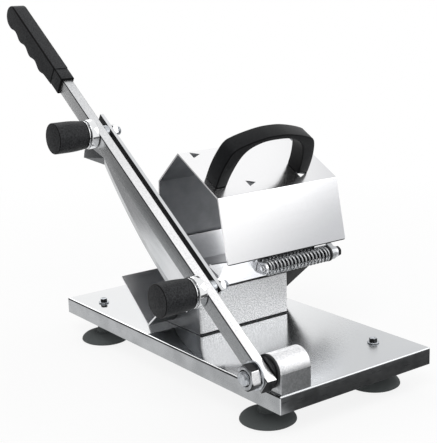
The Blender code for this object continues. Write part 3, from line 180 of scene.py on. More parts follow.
# The noise values between which the second tone takes over, and between which the
# roughness moves, and the least roughness.
PATCH_LOW, PATCH_HIGH = 0.36, 0.64
GRAIN_LOW, GRAIN_HIGH = 0.3, 0.7
SMOOTHEST = 0.02


@dataclass(frozen=True)
class Canvas:
    """A material's node tree, its Principled shader and the object coordinates."""

    tree: Tree
    shader: Node
    place: Socket


@dataclass(frozen=True)
class Finish:
    """A surface finish: two near tones that mix in patches, a grain and its relief.

    The grain is noise whose cell is as long along X, Y and Z as the real marks are.
    It moves the roughness up and down and lifts the surface by the relief. A fade paints
    light and shade: it is a direction and two distances along it, between which the second
    tone takes over from the first, and the roughness grows by what it is dulled. Mottle is
    the share of the patches that stays in a fade.
    """

    label: str
    tone: str
    second_tone: str
    metallic: float
    roughness: float
    spread: float
    grain: tuple[float, float, float]
    relief: float
    patch: float = 0.03
    turn: float = 0.0
    specular: float = 0.5
    fade: tuple[float, ...] | None = None
    mottle: float = 0.0
    dulled: float = 0.0

    def material(self) -> bpy.types.Material:
        """Return this finish's material, made the first time it is asked for.

        Returns:
            The material.
        """
        known = bpy.data.materials.get(self.label)
        if known is not None:
            return known
        made = bpy.data.materials.new(self.label)
        made.use_nodes = True
        tree = made.node_tree
        shader = tree.nodes["Principled BSDF"]
        shader.inputs["Metallic"].default_value = self.metallic
        shader.inputs["Specular IOR Level"].default_value = self.specular
        canvas = Canvas(tree, shader, add_node(tree, "TexCoord").outputs["Object"])
        self.colour(canvas)
        self.surface(canvas)
        return made

    def cells(self, on: Canvas) -> Socket:
        """Return the grain's noise, stretched to its cell and turned about X.

        Args:
            on: the material's canvas.

        Returns:
            The noise's factor.
        """
        turned = add_node(
            on.tree, "Mapping", {"Vector": on.place, "Rotation": (-self.turn, 0, 0)}
        ).outputs[0]
        scale = tuple(1 / size for size in self.grain)
        scaled = add_node(on.tree, "Mapping", {"Vector": turned, "Scale": scale}).outputs[0]
        return add_node(
            on.tree, "TexNoise", {"Vector": scaled, "Scale": 1.0, "Detail": 3.0, "Roughness": 0.55}
        ).outputs["Fac"]

    def faded(self, on: Canvas) -> Socket:
        """Return the fade's share: none before its start, full past its end.

        Args:
            on: the material's canvas.

        Returns:
            The share.
        """
        *direction, start, end = self.fade
        along = add_node(
            on.tree, "VectorMath", {0: on.place, 1: direction}, operation="DOT_PRODUCT"
        ).outputs["Value"]
        return add_node(
            on.tree, "MapRange", {"Value": along, "From Min": start, "From Max": end},
            interpolation_type="SMOOTHSTEP",
        ).outputs[0]

    def colour(self, on: Canvas) -> None:
        """Mix the two tones in patches, and along the fade where there is one.

        Args:
            on: the material's canvas.
        """
        patches = add_node(
            on.tree, "TexNoise", {"Vector": on.place, "Scale": 1 / self.patch, "Detail": 4.0}
        ).outputs["Fac"]
        share = add_node(
            on.tree, "MapRange", {"Value": patches, "From Min": PATCH_LOW, "From Max": PATCH_HIGH}
        ).outputs[0]
        if self.fade is not None:
            share = add_node(
                on.tree, "Mix", {0: self.mottle, 2: self.faded(on), 3: share}
            ).outputs[0]
        mixed = add_node(
            on.tree, "Mix", {0: share, 6: linear(self.tone), 7: linear(self.second_tone)},
            data_type="RGBA",
        ).outputs[2]
        on.tree.links.new(mixed, on.shader.inputs["Base Color"])

    def surface(self, on: Canvas) -> None:
        """Let the grain move the roughness and lift the surface.

        Args:
            on: the material's canvas.
        """
        grain = self.cells(on)
        roughness = add_node(
            on.tree, "MapRange",
            {
                "Value": grain, "From Min": GRAIN_LOW, "From Max": GRAIN_HIGH,
                "To Min": max(self.roughness - self.spread, SMOOTHEST),
                "To Max": self.roughness + self.spread,
            },
        ).outputs[0]
        if self.dulled > 0:
            roughness = add_node(
                on.tree, "Math", {0: self.faded(on), 1: self.dulled, 2: roughness},
                operation="MULTIPLY_ADD",
            ).outputs[0]
        on.tree.links.new(roughness, on.shader.inputs["Roughness"])
        self.lift(on, grain, self.relief)

    def lift(self, on: Canvas, height: Socket, relief: float, strength: float = 1.0) -> None:
        """Lift the surface by a height, on top of what lifts it already.

        Args:
            on: the material's canvas.
            height: the height, from zero to one.
            relief: how high one is.
            strength: the bump's strength.
        """
        values = {"Height": height, "Strength": strength, "Distance": relief}
        normal = on.shader.inputs["Normal"]
        if normal.is_linked:
            values["Normal"] = normal.links[0].from_socket
        on.tree.links.new(add_node(on.tree, "Bump", values).outputs[0], normal)


@dataclass(frozen=True)
class RolledSheet(Finish):
    """Mirror-polished stainless sheet, which is never quite flat.

    Long shallow waves from rolling bend what it mirrors, and faint polishing lines blur it.
    """

    wave: float = 0.045
    wave_height: float = 2e-5

    def surface(self, on: Canvas) -> None:
        """Add the rolling waves under the polishing lines.

        Args:
            on: the material's canvas.
        """
        super().surface(on)
        waves = add_node(
            on.tree, "TexNoise", {"Vector": on.place, "Scale": 1 / self.wave, "Detail": 1.0}
        ).outputs["Fac"]
        self.lift(on, waves, self.wave_height)


@dataclass(frozen=True)
class MouldedPlastic(Finish):
    """Moulded black plastic with a spark-eroded texture of small round pits.

    Real pits are about 0.1 mm wide. They are drawn 0.7 mm wide, so that they show.
    """

    pit: float = 0.0007
    pit_strength: float = 0.6

    def surface(self, on: Canvas) -> None:
        """Add the pits of the mould's texture under the grain.

        Args:
            on: the material's canvas.
        """
        super().surface(on)
        pits = add_node(
            on.tree, "TexVoronoi", {"Vector": on.place, "Scale": 1 / self.pit}
        ).outputs["Distance"]
        self.lift(on, pits, self.relief, self.pit_strength)


# How far the lever arm is raised at rest. Grinding lines on it are turned as far.
ARM_TURN = math.radians(35.3)

# Mirror-polished stainless: it mirrors what stands on it. Its polishing lines are drawn
# 0.4 mm apart, so that they show. Towards the pivot's corner it is rougher, and painted
# greyer as painted shade.
TRAY_POLISH_AND_PAINTED_SHADE = RolledSheet(
    "mirror_polished_stainless", "#EAEBEC", "#C8CACC", 1.0, 0.09, 0.03,
    (0.0004, 0.03, 0.03), 6e-7, patch=0.12, fade=(0.55, -0.83, 0.0, 0.05, 0.17), dulled=0.22,
)
# The folded lips keep the mill's brushed finish, with fine lines along them; their greyer
# tone is painted shade.
LIP_BRUSHED = Finish(
    "brushed_stainless_lip", "#B4B6B8", "#A2A4A6", 1.0, 0.30, 0.06,
    (0.02, 0.02, 0.0006), 4e-6, patch=0.02,
)
# The lip under the pivot is painted darker, as painted shade, and brushed more coarsely.
FRONT_LIP_PAINTED_SHADE = Finish(
    "front_lip_painted_shade", "#9A9C9E", "#828486", 1.0, 0.32, 0.06,
    (0.02, 0.02, 0.0006), 5e-6, patch=0.012,
)
# Soft-polished stainless: the walls glow instead of mirroring, and lower down they are
# painted greyer, as painted shade.
COVER_POLISH_AND_PAINTED_SHADE = RolledSheet(
    "soft_polished_and_painted_shade", "#F8F8F9", "#C4C5C8", 1.0, 0.22, 0.04,
    (0.03, 0.0005, 0.0005), 1e-6, patch=0.1, wave=0.06,
    fade=(0.5, 0.0, -0.87, -0.13, -0.03),
)
# Inside, the cover keeps the dull grey finish of the rolled sheet, and its dark grey is also
# painted shade inside the cover.
COVER_INSIDE = Finish(
    "mill_finish_and_painted_shade", "#8E9093", "#808285", 0.9, 0.40, 0.08,
    (0.02, 0.0006, 0.0006), 6e-6, patch=0.02,
)
# Painted shade and dark reflection: near black on the tray's side bends, along the foot of
# the stand, along the cover's lower edges and on its teeth.
DARK_PAINTED_SHADE = Finish(
    "dark_painted_shade", "#2A2B2D", "#1E1F21", 0.3, 0.50, 0.08,
    (0.0006,) * 3, 1e-5, patch=0.004, specular=0.15,
)
# Bead-blasted stainless: a dense matt grain. Its 0.1 mm dents are drawn 1 mm wide, so
# that they show as a sparkle.
STAND_BLASTED = Finish(
    "bead_blasted_stainless", "#FBFBFC", "#B4B6B8", 0.75, 0.50, 0.20,
    (0.0010,) * 3, 0.00014, patch=0.0011,
)
# The stand's front panel is painted dark, as painted shade: it mirrors, but only dimly.
STAND_PANEL_PAINTED_SHADE = RolledSheet(
    "stand_panel_painted_shade", "#9A9C9F", "#828487", 0.8, 0.22, 0.05,
    (0.0006, 0.02, 0.02), 2e-6, patch=0.03,
)
# Under the trough's front the sheet is painted dark grey, as painted shade.
TROUGH_FRONT_PAINTED_SHADE = Finish(
    "trough_front_painted_shade", "#A4A6A8", "#909294", 1.0, 0.35, 0.08,
    (0.02, 0.0008, 0.0008), 6e-6, patch=0.02,
)
# Behind the stand the trough's underside is painted matt black, as painted shade.
TROUGH_REAR_PAINTED_SHADE = Finish(
    "trough_rear_painted_shade", "#222325", "#191A1C", 0.0, 0.60, 0.08,
    (0.0008,) * 3, 2e-5, patch=0.02, specular=0.1,
)
# Ground flat bar: grinding lines run along the arm. It is painted brightest low down and
# greyer higher up, towards the grip, as painted light and shade, and it paints the
# highlight on the pivot nut's flats.
ARM_GROUND_AND_PAINTED_LIGHT = Finish(
    "ground_steel_and_painted_light", "#FBFBFC", "#BCBEC0", 1.0, 0.30, 0.08,
    (0.0006, 0.03, 0.0006), 5e-6, patch=0.0016, turn=ARM_TURN,
    fade=(0.0, 0.0, 1.0, 0.13, 0.30), mottle=0.3,
)
# The bar's side is painted grey low down and brighter higher up, towards the grip, as
# painted shade and light.
ARM_SIDE_PAINTED_LIGHT_AND_SHADE = Finish(
    "arm_side_painted_light_and_shade", "#8C8E90", "#F2F3F4", 1.0, 0.30, 0.08,
    (0.0006, 0.03, 0.0006), 5e-6, patch=0.0016, turn=ARM_TURN,
    fade=(0.0, 0.0, 1.0, 0.15, 0.27), mottle=0.1,
)
# Painted shade: near black on the bar's rounded edges and on its sawn end, and on the
# blade's strip under the arm.
ARM_PAINTED_SHADE = Finish(
    "arm_painted_shade", "#242527", "#191A1C", 0.3, 0.45, 0.08,
    (0.0006, 0.01, 0.0006), 4e-6, patch=0.004, turn=ARM_TURN, specular=0.15,
)
# Polished blade steel: the flat is bright, and blurs what it mirrors along the blade.
BLADE_FACE = Finish(
    "polished_blade_steel", "#DFE0E2", "#D2D4D6", 1.0, 0.16, 0.05,
    (0.0005, 0.03, 0.0006), 1e-6, patch=0.05, turn=ARM_TURN,
)
# The point beyond the edge is dark, as it came from the heat treatment.
BLADE_POINT = Finish(
    "dark_hardened_steel", "#55575A", "#484A4C", 1.0, 0.30, 0.06,
    (0.0005, 0.02, 0.0006), 3e-6, patch=0.01, turn=ARM_TURN,
)
# The band that is ground to the edge: lines run across it.
BLADE_GRIND = Finish(
    "ground_blade_edge", "#B9BBBD", "#A4A6A8", 1.0, 0.22, 0.07,
    (0.0005, 0.0004, 0.01), 2e-6, patch=0.02, turn=ARM_TURN,
)
# Bright chrome on turned parts: the sharpest mirror here.
CHROME = Finish(
    "bright_chrome", "#EFF0F1", "#E8E9EA", 1.0, 0.07, 0.02,
    (0.0004, 0.004, 0.004), 8e-7, patch=0.01,
)
# Chrome on the pivot's nut, painted darker as painted shade; coarse turning marks break it up.
NUT_CHROME_PAINTED_SHADE = Finish(
    "nut_chrome_painted_shade", "#AEB0B3", "#8A8C8F", 1.0, 0.14, 0.05,
    (0.0006,) * 3, 2e-6, patch=0.003,
)
# Zinc plate on fasteners: slightly blue and dull. On the tops of the foot screws' heads it is
# a painted highlight.
ZINC = Finish(
    "bright_zinc_plate", "#C3C6CA", "#A6AAAF", 1.0, 0.28, 0.08,
    (0.0006,) * 3, 4e-6, patch=0.003,
)
# Oxide-blackened steel: black with a dull shine, on screws and rubbed grease. It also paints
# dark reflection and shade on the chromed slopes and on the pivot nut.
BLACK_OXIDE_AND_PAINTED_SHADE = Finish(
    "black_oxide_and_painted_shade", "#222325", "#161718", 0.3, 0.34, 0.08,
    (0.0008,) * 3, 6e-6, patch=0.003, specular=0.25,
)
# Spring wire, drawn and tempered: grey, with a bright line along the top of each coil.
SPRING_WIRE = Finish(
    "drawn_spring_wire", "#B4B5B6", "#8E9092", 1.0, 0.20, 0.06,
    (0.001,) * 3, 3e-6, patch=0.004,
)
# Moulded ABS with a spark-eroded texture: a dusty black without mirror.
BLACK_ABS = MouldedPlastic(
    "textured_black_abs", "#303133", "#121315", 0.0, 0.55, 0.06,
    (0.0009,) * 3, 9e-5, patch=0.0013, specular=0.2,
)
# The plastic's rounded edges are smoother and painted deep black, as painted shade, and so
# are the grip's steps and the bow's opening.
ABS_PAINTED_SHADE = Finish(
    "black_abs_painted_shade", "#060607", "#040405", 0.0, 0.42, 0.05,
    (0.002,) * 3, 4e-6, patch=0.01, specular=0.08,
)
# Smoother moulded ABS on the bow handle: deeper black, with a soft sheen.
BOW_ABS = MouldedPlastic(
    "satin_black_abs", "#17181A", "#101113", 0.0, 0.42, 0.05,
    (0.0012,) * 3, 3e-5, patch=0.002, specular=0.12,
)
# Moulded nylon on bushes and washers: matt and black.
NYLON = MouldedPlastic(
    "matt_black_nylon", "#232426", "#1C1D1F", 0.0, 0.55, 0.05,
    (0.0008,) * 3, 2e-5, patch=0.01,
)
# Moulded rubber: dark grey, with a faint bloom that lightens it in patches.
RUBBER = Finish(
    "grey_rubber", "#8A9093", "#7A8083", 0.0, 0.52, 0.08,
    (0.0012,) * 3, 4e-5, patch=0.006, specular=0.35,
)
# Turned brass in the knobs' inserts: yellow, with rings round the hole.
BRASS = Finish(
    "turned_brass", "#D9B667", "#CBA657", 1.0, 0.28, 0.06,
    (0.0003, 0.004, 0.004), 3e-6, patch=0.006,
)
# Sintered bronze in the bushes: brown and slightly grainy.
BRONZE = Finish(
    "sintered_bronze", "#B98A5C", "#A1764C", 0.9, 0.42, 0.08,
    (0.0006,) * 3, 1e-5, patch=0.003,
)
# The polished rod is painted dark inside the spring, as the spring's painted shade.
ROD_PAINTED_SHADE = Finish(
    "rod_painted_shade", "#3A3B3D", "#28292B", 1.0, 0.18, 0.06,
    (0.002, 0.0006, 0.0006), 2e-6, patch=0.004,
)
# The housing's barrel is turned and satin polished, with faint lines round it.
HOUSING_SATIN = Finish(
    "satin_turned_stainless", "#F4F4F5", "#DADBDD", 0.85, 0.42, 0.07,
    (0.0005, 0.02, 0.02), 4e-6, patch=0.0018,
)
# Its flat sides are milled and greyer, and so are its ends; the grey is partly painted shade.
HOUSING_MILLED_AND_PAINTED_SHADE = Finish(
    "milled_and_painted_shade_stainless", "#BCBEC0", "#A4A6A8", 0.9, 0.40, 0.07,
    (0.0006, 0.02, 0.0006), 4e-6, patch=0.0018,
)


# Shapes as arrays

# The greatest share of a side that an arc takes, and half the turn that needs no arc.
SIDE_SHARE = 0.48
NEARLY_STRAIGHT = 0.02
# A corner's offset is at most one over this times the offset of its sides.
LEAST_SPREAD = 0.5
# The greatest share of a flat part that the fold next to it takes.
FOLD_SHARE = 0.45
# How far crease lines run past the sheet, and how near two points count as one.
CREASE_MARGIN = 0.001
MERGE_DISTANCE = 1e-7
# The points on a rectangle's corner, and the parts of a thread's turn and of its pitch.
CORNER_POINTS = 7
THREAD_ROUND = 48
THREAD_ROWS = 8
# Shares of a thread's pitch: how deep its groove is, and how far its ends are chamfered.
THREAD_DEPTH = 0.45
THREAD_CHAMFER = 0.9
# A nut's chamfer cone starts at this share of its flats, and its bore has this lip.
CONE_START = 0.985
BORE_LIP = 0.0008


@dataclass
class Surface:
    """A closed shape: a row of x, y, z for each point, and the points round each face."""

    points: Points
    faces: list[list[int]]

    def moved(self, matrix: Matrix) -> "Surface":
        """Return this surface carried by a matrix."""
        table = np.array(matrix, float)
        return Surface(self.points @ table[:3, :3].T + table[:3, 3], self.faces)

    def __add__(self, other: "Surface") -> "Surface":
        """Return this surface and another one as one.

        Args:
            other: the other surface.

        Returns:
            Both.
        """
        start = len(self.points)
        faces = self.faces + [[index + start for index in face] for face in other.faces]
        return Surface(np.vstack((self.points, other.points)), faces)


def closed_grid(rows: Points, looped: bool = False) -> Surface:
    """Join a grid of points that is closed across its columns.

    Face (i, j) joins points (i, j), (i, j+1), (i+1, j+1) and (i+1, j). Where the rows
    aren't looped, the first and the last row are closed with one flat face each.

    Args:
        rows: an array of row, column and coordinate.
        looped: whether the last row joins the first.

    Returns:
        The closed surface.
    """
    count, width = rows.shape[:2]
    index = np.arange(count * width).reshape(count, width)
    beside = np.roll(index, -1, axis=1)
    below, below_beside = np.roll(index, -1, axis=0), np.roll(beside, -1, axis=0)
    last = count if looped else count - 1
    quads = np.stack((index, beside, below_beside, below), axis=-1)[:last].reshape(-1, 4)
    faces = quads.tolist()
    if not looped:
        faces += [index[0].tolist(), index[-1].tolist()]
    return Surface(rows.reshape(-1, 3), faces)


def level_loop(outline: Points, height: float | Points) -> Points:
    """Return an outline with one more column, the height of its points."""
    return np.column_stack((outline, np.broadcast_to(height, len(outline))))


def rounded(points: Points, radius: float, steps: int = 4, closed: bool = False) -> Points:
    """Round the corners of a line of points with arcs.

    Each arc starts and ends at the same distance from its corner, and its centre is on
    the corner's bisector. The distance is at most SIDE_SHARE of the shorter side. The
    ends of an open line stay as they are, and so do corners that are nearly straight.

    Args:
        points: the corners, two numbers each.
        radius: the arcs' radius.
        steps: how many chords an arc has.
        closed: whether the last point joins the first.

    Returns:
        The rounded line.
    """
    points = np.asarray(points, float)
    to_last, to_next = np.roll(points, 1, axis=0) - points, np.roll(points, -1, axis=0) - points
    last, following = np.linalg.norm(to_last, axis=1), np.linalg.norm(to_next, axis=1)
    to_last = to_last / np.maximum(last, TINY)[:, None]
    to_next = to_next / np.maximum(following, TINY)[:, None]
    half = np.arccos(np.clip((to_last * to_next).sum(axis=1), -1, 1)) / 2
    turned = half <= math.pi / 2 - NEARLY_STRAIGHT
    if not closed:
        turned[[0, -1]] = False
    half = np.where(turned, half, math.pi / 4)
    reach = np.minimum(radius / np.tan(half), SIDE_SHARE * np.minimum(last, following))[:, None]
    bisector = to_last + to_next
    bisector /= np.maximum(np.linalg.norm(bisector, axis=1), TINY)[:, None]
    centre = points + bisector * reach / np.cos(half)[:, None]
    start, end = points + to_last * reach - centre, points + to_next * reach - centre
    sweep = (math.pi - 2 * half)[:, None, None]
    share = np.linspace(0, 1, steps + 1)[None, :, None]
    arc = np.sin((1 - share) * sweep) * start[:, None] + np.sin(share * sweep) * end[:, None]
    placed = np.where(
        turned[:, None, None], centre[:, None] + arc / np.sin(sweep), points[:, None]
    )
    return placed[turned[:, None] | (np.arange(steps + 1) == 0)]


def lathe(profile: Points, steps: int = ROUND, looped: bool = False) -> Surface:
    """Turn a profile of (along, radius) about X.

    Point (k, j) is at the k-th place along X and at the k-th radius, turned by j parts
    of a full turn.

    Args:
        profile: places along X and their radii.
        steps: how many parts a full turn has.
        looped: whether the profile closes on itself, as a ring's does.

    Returns:
        The turned surface.
    """
    profile = np.asarray(profile, float)
    angle = np.linspace(0, math.tau, steps, endpoint=False)
    return polar(profile[:, 0], angle, profile[:, 1:2], looped)


def polar(along: Points, angle: Points, radius: Points, looped: bool = False) -> Surface:
    """Carry a radius that depends on the place along X and on the angle about X.

    Args:
        along: the places along X.
        angle: the angles about X.
        radius: one row of radii for each place, one for each angle.
        looped: whether the last place joins the first.

    Returns:
        The surface.
    """
    spread = np.repeat(np.asarray(along, float)[:, None], len(angle), axis=1)
    return closed_grid(
        np.stack((spread, radius * np.cos(angle), radius * np.sin(angle)), axis=-1), looped
    )


def outline_normals(outline: Points) -> Points:
    """Return an outline's inward offsets for a distance of one.

    Each is the mean of its two sides' inward normals, made longer at corners so that
    both sides move by the full distance.

    Args:
        outline: the closed outline.

    Returns:
        One offset for each point.
    """
    ahead = np.roll(outline, -1, axis=0) - outline
    ahead /= np.maximum(np.linalg.norm(ahead, axis=1), TINY)[:, None]
    behind = np.roll(ahead, 1, axis=0)
    left = np.stack((-ahead[:, 1], ahead[:, 0]), axis=1)
    left_behind = np.stack((-behind[:, 1], behind[:, 0]), axis=1)
    mean = left + left_behind
    mean /= np.maximum(np.linalg.norm(mean, axis=1), TINY)[:, None]
    spread = np.maximum((mean * left).sum(axis=1), LEAST_SPREAD)
    x, y = outline[:, 0], outline[:, 1]
    area = (x * np.roll(y, -1) - np.roll(x, -1) * y).sum()
    return mean / spread[:, None] * (1 if area > 0 else -1)


def carried(outline: Points, stations: Points) -> Surface:
    """Carry an outline of (y, z) along X, set inwards at each station.

    Args:
        outline: the closed outline.
        stations: places along X, each with how far the outline is set inwards.

    Returns:
        The closed surface.
    """
    outline = np.asarray(outline, float)
    stations = np.asarray(stations, float)
    inward = outline_normals(outline)
    plane = outline[None] + stations[:, 1][:, None, None] * inward[None]
    along = np.repeat(stations[:, 0][:, None, None], len(outline), axis=1)
    return closed_grid(np.concatenate((along, plane), axis=2))


def round_ends(low: float, high: float, edge: float, steps: int = 4) -> Points:
    """Return stations from low to high whose ends are rounded by a quarter circle.

    Args:
        low: the lower end.
        high: the higher end.
        edge: the quarter circles' radius.
        steps: how many chords each of them has.

    Returns:
        Places along X, each with how far the outline is set inwards.
    """
    angle = np.linspace(0, math.pi / 2, steps + 1)
    inset = edge * (1 - np.sin(angle))
    start = np.stack((low + edge * (1 - np.cos(angle)), inset), axis=1)
    end = np.stack((high - edge * (1 - np.cos(angle)), inset), axis=1)[::-1]
    return np.vstack((start, end))


def tube(path: Points, radius: float, sides: int = 12) -> Surface:
    """Carry a circle along a path, without twisting it.

    Each circle stands square to the path. It starts in the direction of the last one,
    made square to the path's new heading.

    Args:
        path: the centre line.
        radius: the tube's radius.
        sides: how many sides the circle has.

    Returns:
        The closed tube.
    """
    heading = np.gradient(path, axis=0)
    heading /= np.linalg.norm(heading, axis=1)[:, None]
    first = np.cross(heading[0], (0.3, 0.5, 0.8))
    side = np.empty_like(path)
    for index, ahead in enumerate(heading):
        first = first - ahead * (first @ ahead)
        first /= np.linalg.norm(first)
        side[index] = first
    other = np.cross(heading, side)
    angle = np.linspace(0, math.tau, sides, endpoint=False)[None, :, None]
    circle = np.cos(angle) * side[:, None] + np.sin(angle) * other[:, None]
    return closed_grid(path[:, None] + radius * circle)


def inside(points: Points, outline: Points) -> Chosen:
    """Say which points lie within an outline, by counting the sides to their right.

    Args:
        points: the points, two numbers each.
        outline: the closed outline.

    Returns:
        One truth value for each point.
    """
    x, y = points[:, 0][:, None], points[:, 1][:, None]
    ahead = np.roll(outline, -1, axis=0)
    low, high = outline[:, 1][None], ahead[:, 1][None]
    crosses = (low > y) != (high > y)
    rise = np.where(high == low, 1.0, high - low)
    meets = outline[:, 0][None] + (y - low) / rise * (ahead[:, 0] - outline[:, 0])[None]
    return (crosses & (x < meets)).sum(axis=1) % 2 == 1


@dataclass
class FoldedSheet:
    """A sheet that is cut to an outline and folded along X over a section.

    The section is a line of (y, z) corners on the sheet's outer face. A place on the
    sheet is x and the distance along the section's sharp corners. Near a corner that
    distance is carried onto the bend's arc, so that the flat parts stay where they are.
    A bend has an outer radius and a number of chords, called steps.
    """

    section: Points
    bend: float
    sheet: float
    steps: int = 7
    starts: Points = field(init=False)
    distance: Points = field(init=False)
    places: Points = field(init=False)
    normals: Points = field(init=False)

    def __post_init__(self) -> None:
        """Work out the distances, places and normals of the section's samples."""
        corners = np.asarray(self.section, float)
        lengths = np.linalg.norm(np.diff(corners, axis=0), axis=1)
        self.starts = starts = np.concatenate(([0.0], np.cumsum(lengths)))
        headings = np.diff(corners, axis=0) / lengths[:, None]
        sides = np.stack((-headings[:, 1], headings[:, 0]), axis=1)
        distance, places, normals = [starts[:1]], [corners[:1]], [sides[:1]]
        for index in range(1, len(corners) - 1):
            turn = math.acos(float(np.clip(headings[index - 1] @ headings[index], -1, 1)))
            room = FOLD_SHARE * min(lengths[index - 1:index + 1])
            reach = min(self.bend * math.tan(turn / 2), room)
            share = np.linspace(0, 1, self.steps + 1)
            around = np.stack((
                corners[index] - headings[index - 1] * reach, corners[index],
                corners[index] + headings[index] * reach,
            ))
            arc = rounded(around, reach / math.tan(turn / 2), self.steps)[1:-1]
            distance.append(starts[index] + reach * (2 * share - 1))
            places.append(arc)
            weight = share[:, None] * turn
            normals.append(
                (np.sin(turn - weight) * sides[index - 1] + np.sin(weight) * sides[index])
                / math.sin(turn)
            )
        distance.append(starts[-1:])
        places.append(corners[-1:])
        normals.append(sides[-1:])
        self.distance = np.concatenate(distance)
        self.places = np.vstack(places)
        self.normals = np.vstack(normals)

    def corner_distance(self, index: int) -> float:
        """Return the distance along the section to one of its corners."""
        return float(self.starts[index])

    def cut(
        self, outline: Points, holes: list[Points], creases: list[Points] | None = None
    ) -> tuple[Points, list[list[int]]]:
        """Cut the flat sheet into triangles that keep to the bends.

        Args:
            outline: the outline in x and distance.
            holes: outlines that are left open.
            creases: more pairs of points that edges have to follow.

        Returns:
            The flat points and the triangles.
        """
        low = outline.min(axis=0) - CREASE_MARGIN
        high = outline.max(axis=0) + CREASE_MARGIN
        lines = [np.array([(low[0], s), (high[0], s)]) for s in self.distance[1:-1]]
        lines += creases or []
        flat: list[Vector] = []
        edges: list[tuple[int, int]] = []
        for loop in [outline, *holes]:
            start, count = len(flat), len(loop)
            flat += [Vector(point) for point in loop]
            edges += [(start + k, start + (k + 1) % count) for k in range(count)]
        for line in lines:
            edges.append((len(flat), len(flat) + 1))
            flat += [Vector(point) for point in line]
        places, _, triangles, *_ = delaunay_2d_cdt(flat, edges, [], 0, MERGE_DISTANCE, False)
        points = np.array([tuple(place) for place in places], float)
        corners = np.array(triangles, int)
        middles = points[corners].mean(axis=1)
        keep = inside(middles, outline)
        for hole in holes:
            keep &= ~inside(middles, hole)
        corners = corners[keep]
        used, renumbered = np.unique(corners, return_inverse=True)
        return points[used], renumbered.reshape(-1, 3).tolist()

    def folded(
        self, outline: Points, holes: list[Points], creases: list[Points] | None = None
    ) -> Surface:
        """Cut, fold and thicken the sheet.

        A point at x and distance s lies at x and at the section's place for s. Its
        inner twin lies one thickness along the section's normal.

        Args:
            outline: the outline in x and distance.
            holes: outlines that are left open.
            creases: more pairs of points that edges have to follow.

        Returns:
            The closed sheet.
        """
        flat, triangles = self.cut(np.asarray(outline, float), holes, creases)
        outer = self.place(flat, 0.0)
        inner = self.place(flat, self.sheet)
        return thickened(outer, inner, triangles)

    def place(self, flat: Points, depth: float) -> Points:
        """Carry flat points onto the folded section, at a depth below its outer face.

        Args:
            flat: the points, as x and the distance along the section.
            depth: how far below the outer face they go.

        Returns:
            The points in space.
        """
        along = [
            np.interp(flat[:, 1], self.distance, column)
            for column in (*self.places.T, *self.normals.T)
        ]
        spot, normal = np.stack(along[:2], axis=1), np.stack(along[2:], axis=1)
        normal /= np.linalg.norm(normal, axis=1)[:, None]
        return np.column_stack((flat[:, 0], spot - normal * depth))


def thickened(outer: Points, inner: Points, triangles: list[list[int]]) -> Surface:
    """Join two faces of a sheet round their open edges.

    Args:
        outer: the points of one face.
        inner: the same points on the other face.
        triangles: the triangles of the outer face.

    Returns:
        The closed sheet.
    """
    count = len(outer)
    corners = np.array(triangles, int)
    sides = np.vstack((corners[:, (0, 1)], corners[:, (1, 2)], corners[:, (2, 0)]))
    ordered = np.sort(sides, axis=1)
    _, first, times = np.unique(ordered, axis=0, return_index=True, return_counts=True)
    rim = sides[first[times == 1]]
    walls = np.column_stack((rim[:, 1], rim[:, 0], rim[:, 0] + count, rim[:, 1] + count))
    faces = triangles + (corners[:, ::-1] + count).tolist() + walls.tolist()
    return Surface(np.vstack((outer, inner)), faces)


def rectangle_loop(low: Pair, high: Pair, corner: float, side_points: int = 0) -> Points:
    """Return a rounded rectangle, with extra points along its sides.

    Args:
        low: the lowest x and y.
        high: the highest x and y.
        corner: the corners' radius.
        side_points: how many extra points each side has.

    Returns:
        The closed loop, the same number of points for every size.
    """
    centres = np.array([
        (high[0] - corner, high[1] - corner), (low[0] + corner, high[1] - corner),
        (low[0] + corner, low[1] + corner), (high[0] - corner, low[1] + corner),
    ])
    angle = np.linspace(0, math.pi / 2, CORNER_POINTS) + np.arange(4)[:, None] * math.pi / 2
    arcs = centres[:, None] + corner * np.stack((np.cos(angle), np.sin(angle)), axis=-1)
    last, following = arcs[:, -1:], np.roll(arcs, -1, axis=0)[:, :1]
    share = np.linspace(0, 1, side_points + 2)[1:-1, None]
    sides = last + (following - last) * share
    return np.concatenate((arcs, sides), axis=1).reshape(-1, 2)


def hexagon_nut(low: float, high: float, flats: float, bore: float) -> Surface:
    """Return a chamfered hexagonal nut along X.

    Its radius at an angle is the smaller of the hexagon's and of a 30 degree cone that
    starts a little inside the flats on each face, which cuts the arcs on the flats.

    Args:
        low: its lower face.
        high: its higher face.
        flats: its width across flats.
        bore: its bore's radius.

    Returns:
        The nut.
    """
    half, slope = flats / 2, math.pi / 6
    angle = np.linspace(0, math.tau, FINE_ROUND, endpoint=False)
    turn = (angle + slope) % (2 * slope) - slope
    hexagon = half / np.cos(turn)
    depth = (half / math.cos(slope) - half) * math.tan(slope)
    start = np.linspace(0, depth, 9)
    along = np.concatenate((low + start, high - start[::-1]))
    cone = half * CONE_START + np.minimum(along - low, high - along) / math.tan(slope)
    outer = np.minimum(hexagon[None], cone[:, None])
    hole = np.full((1, len(angle)), bore)
    rows = np.vstack((hole + BORE_LIP, outer, hole + BORE_LIP, hole, hole))
    places = np.concatenate(([low], along, [high, high - BORE_LIP, low + BORE_LIP]))
    return polar(places, angle, rows, looped=True)


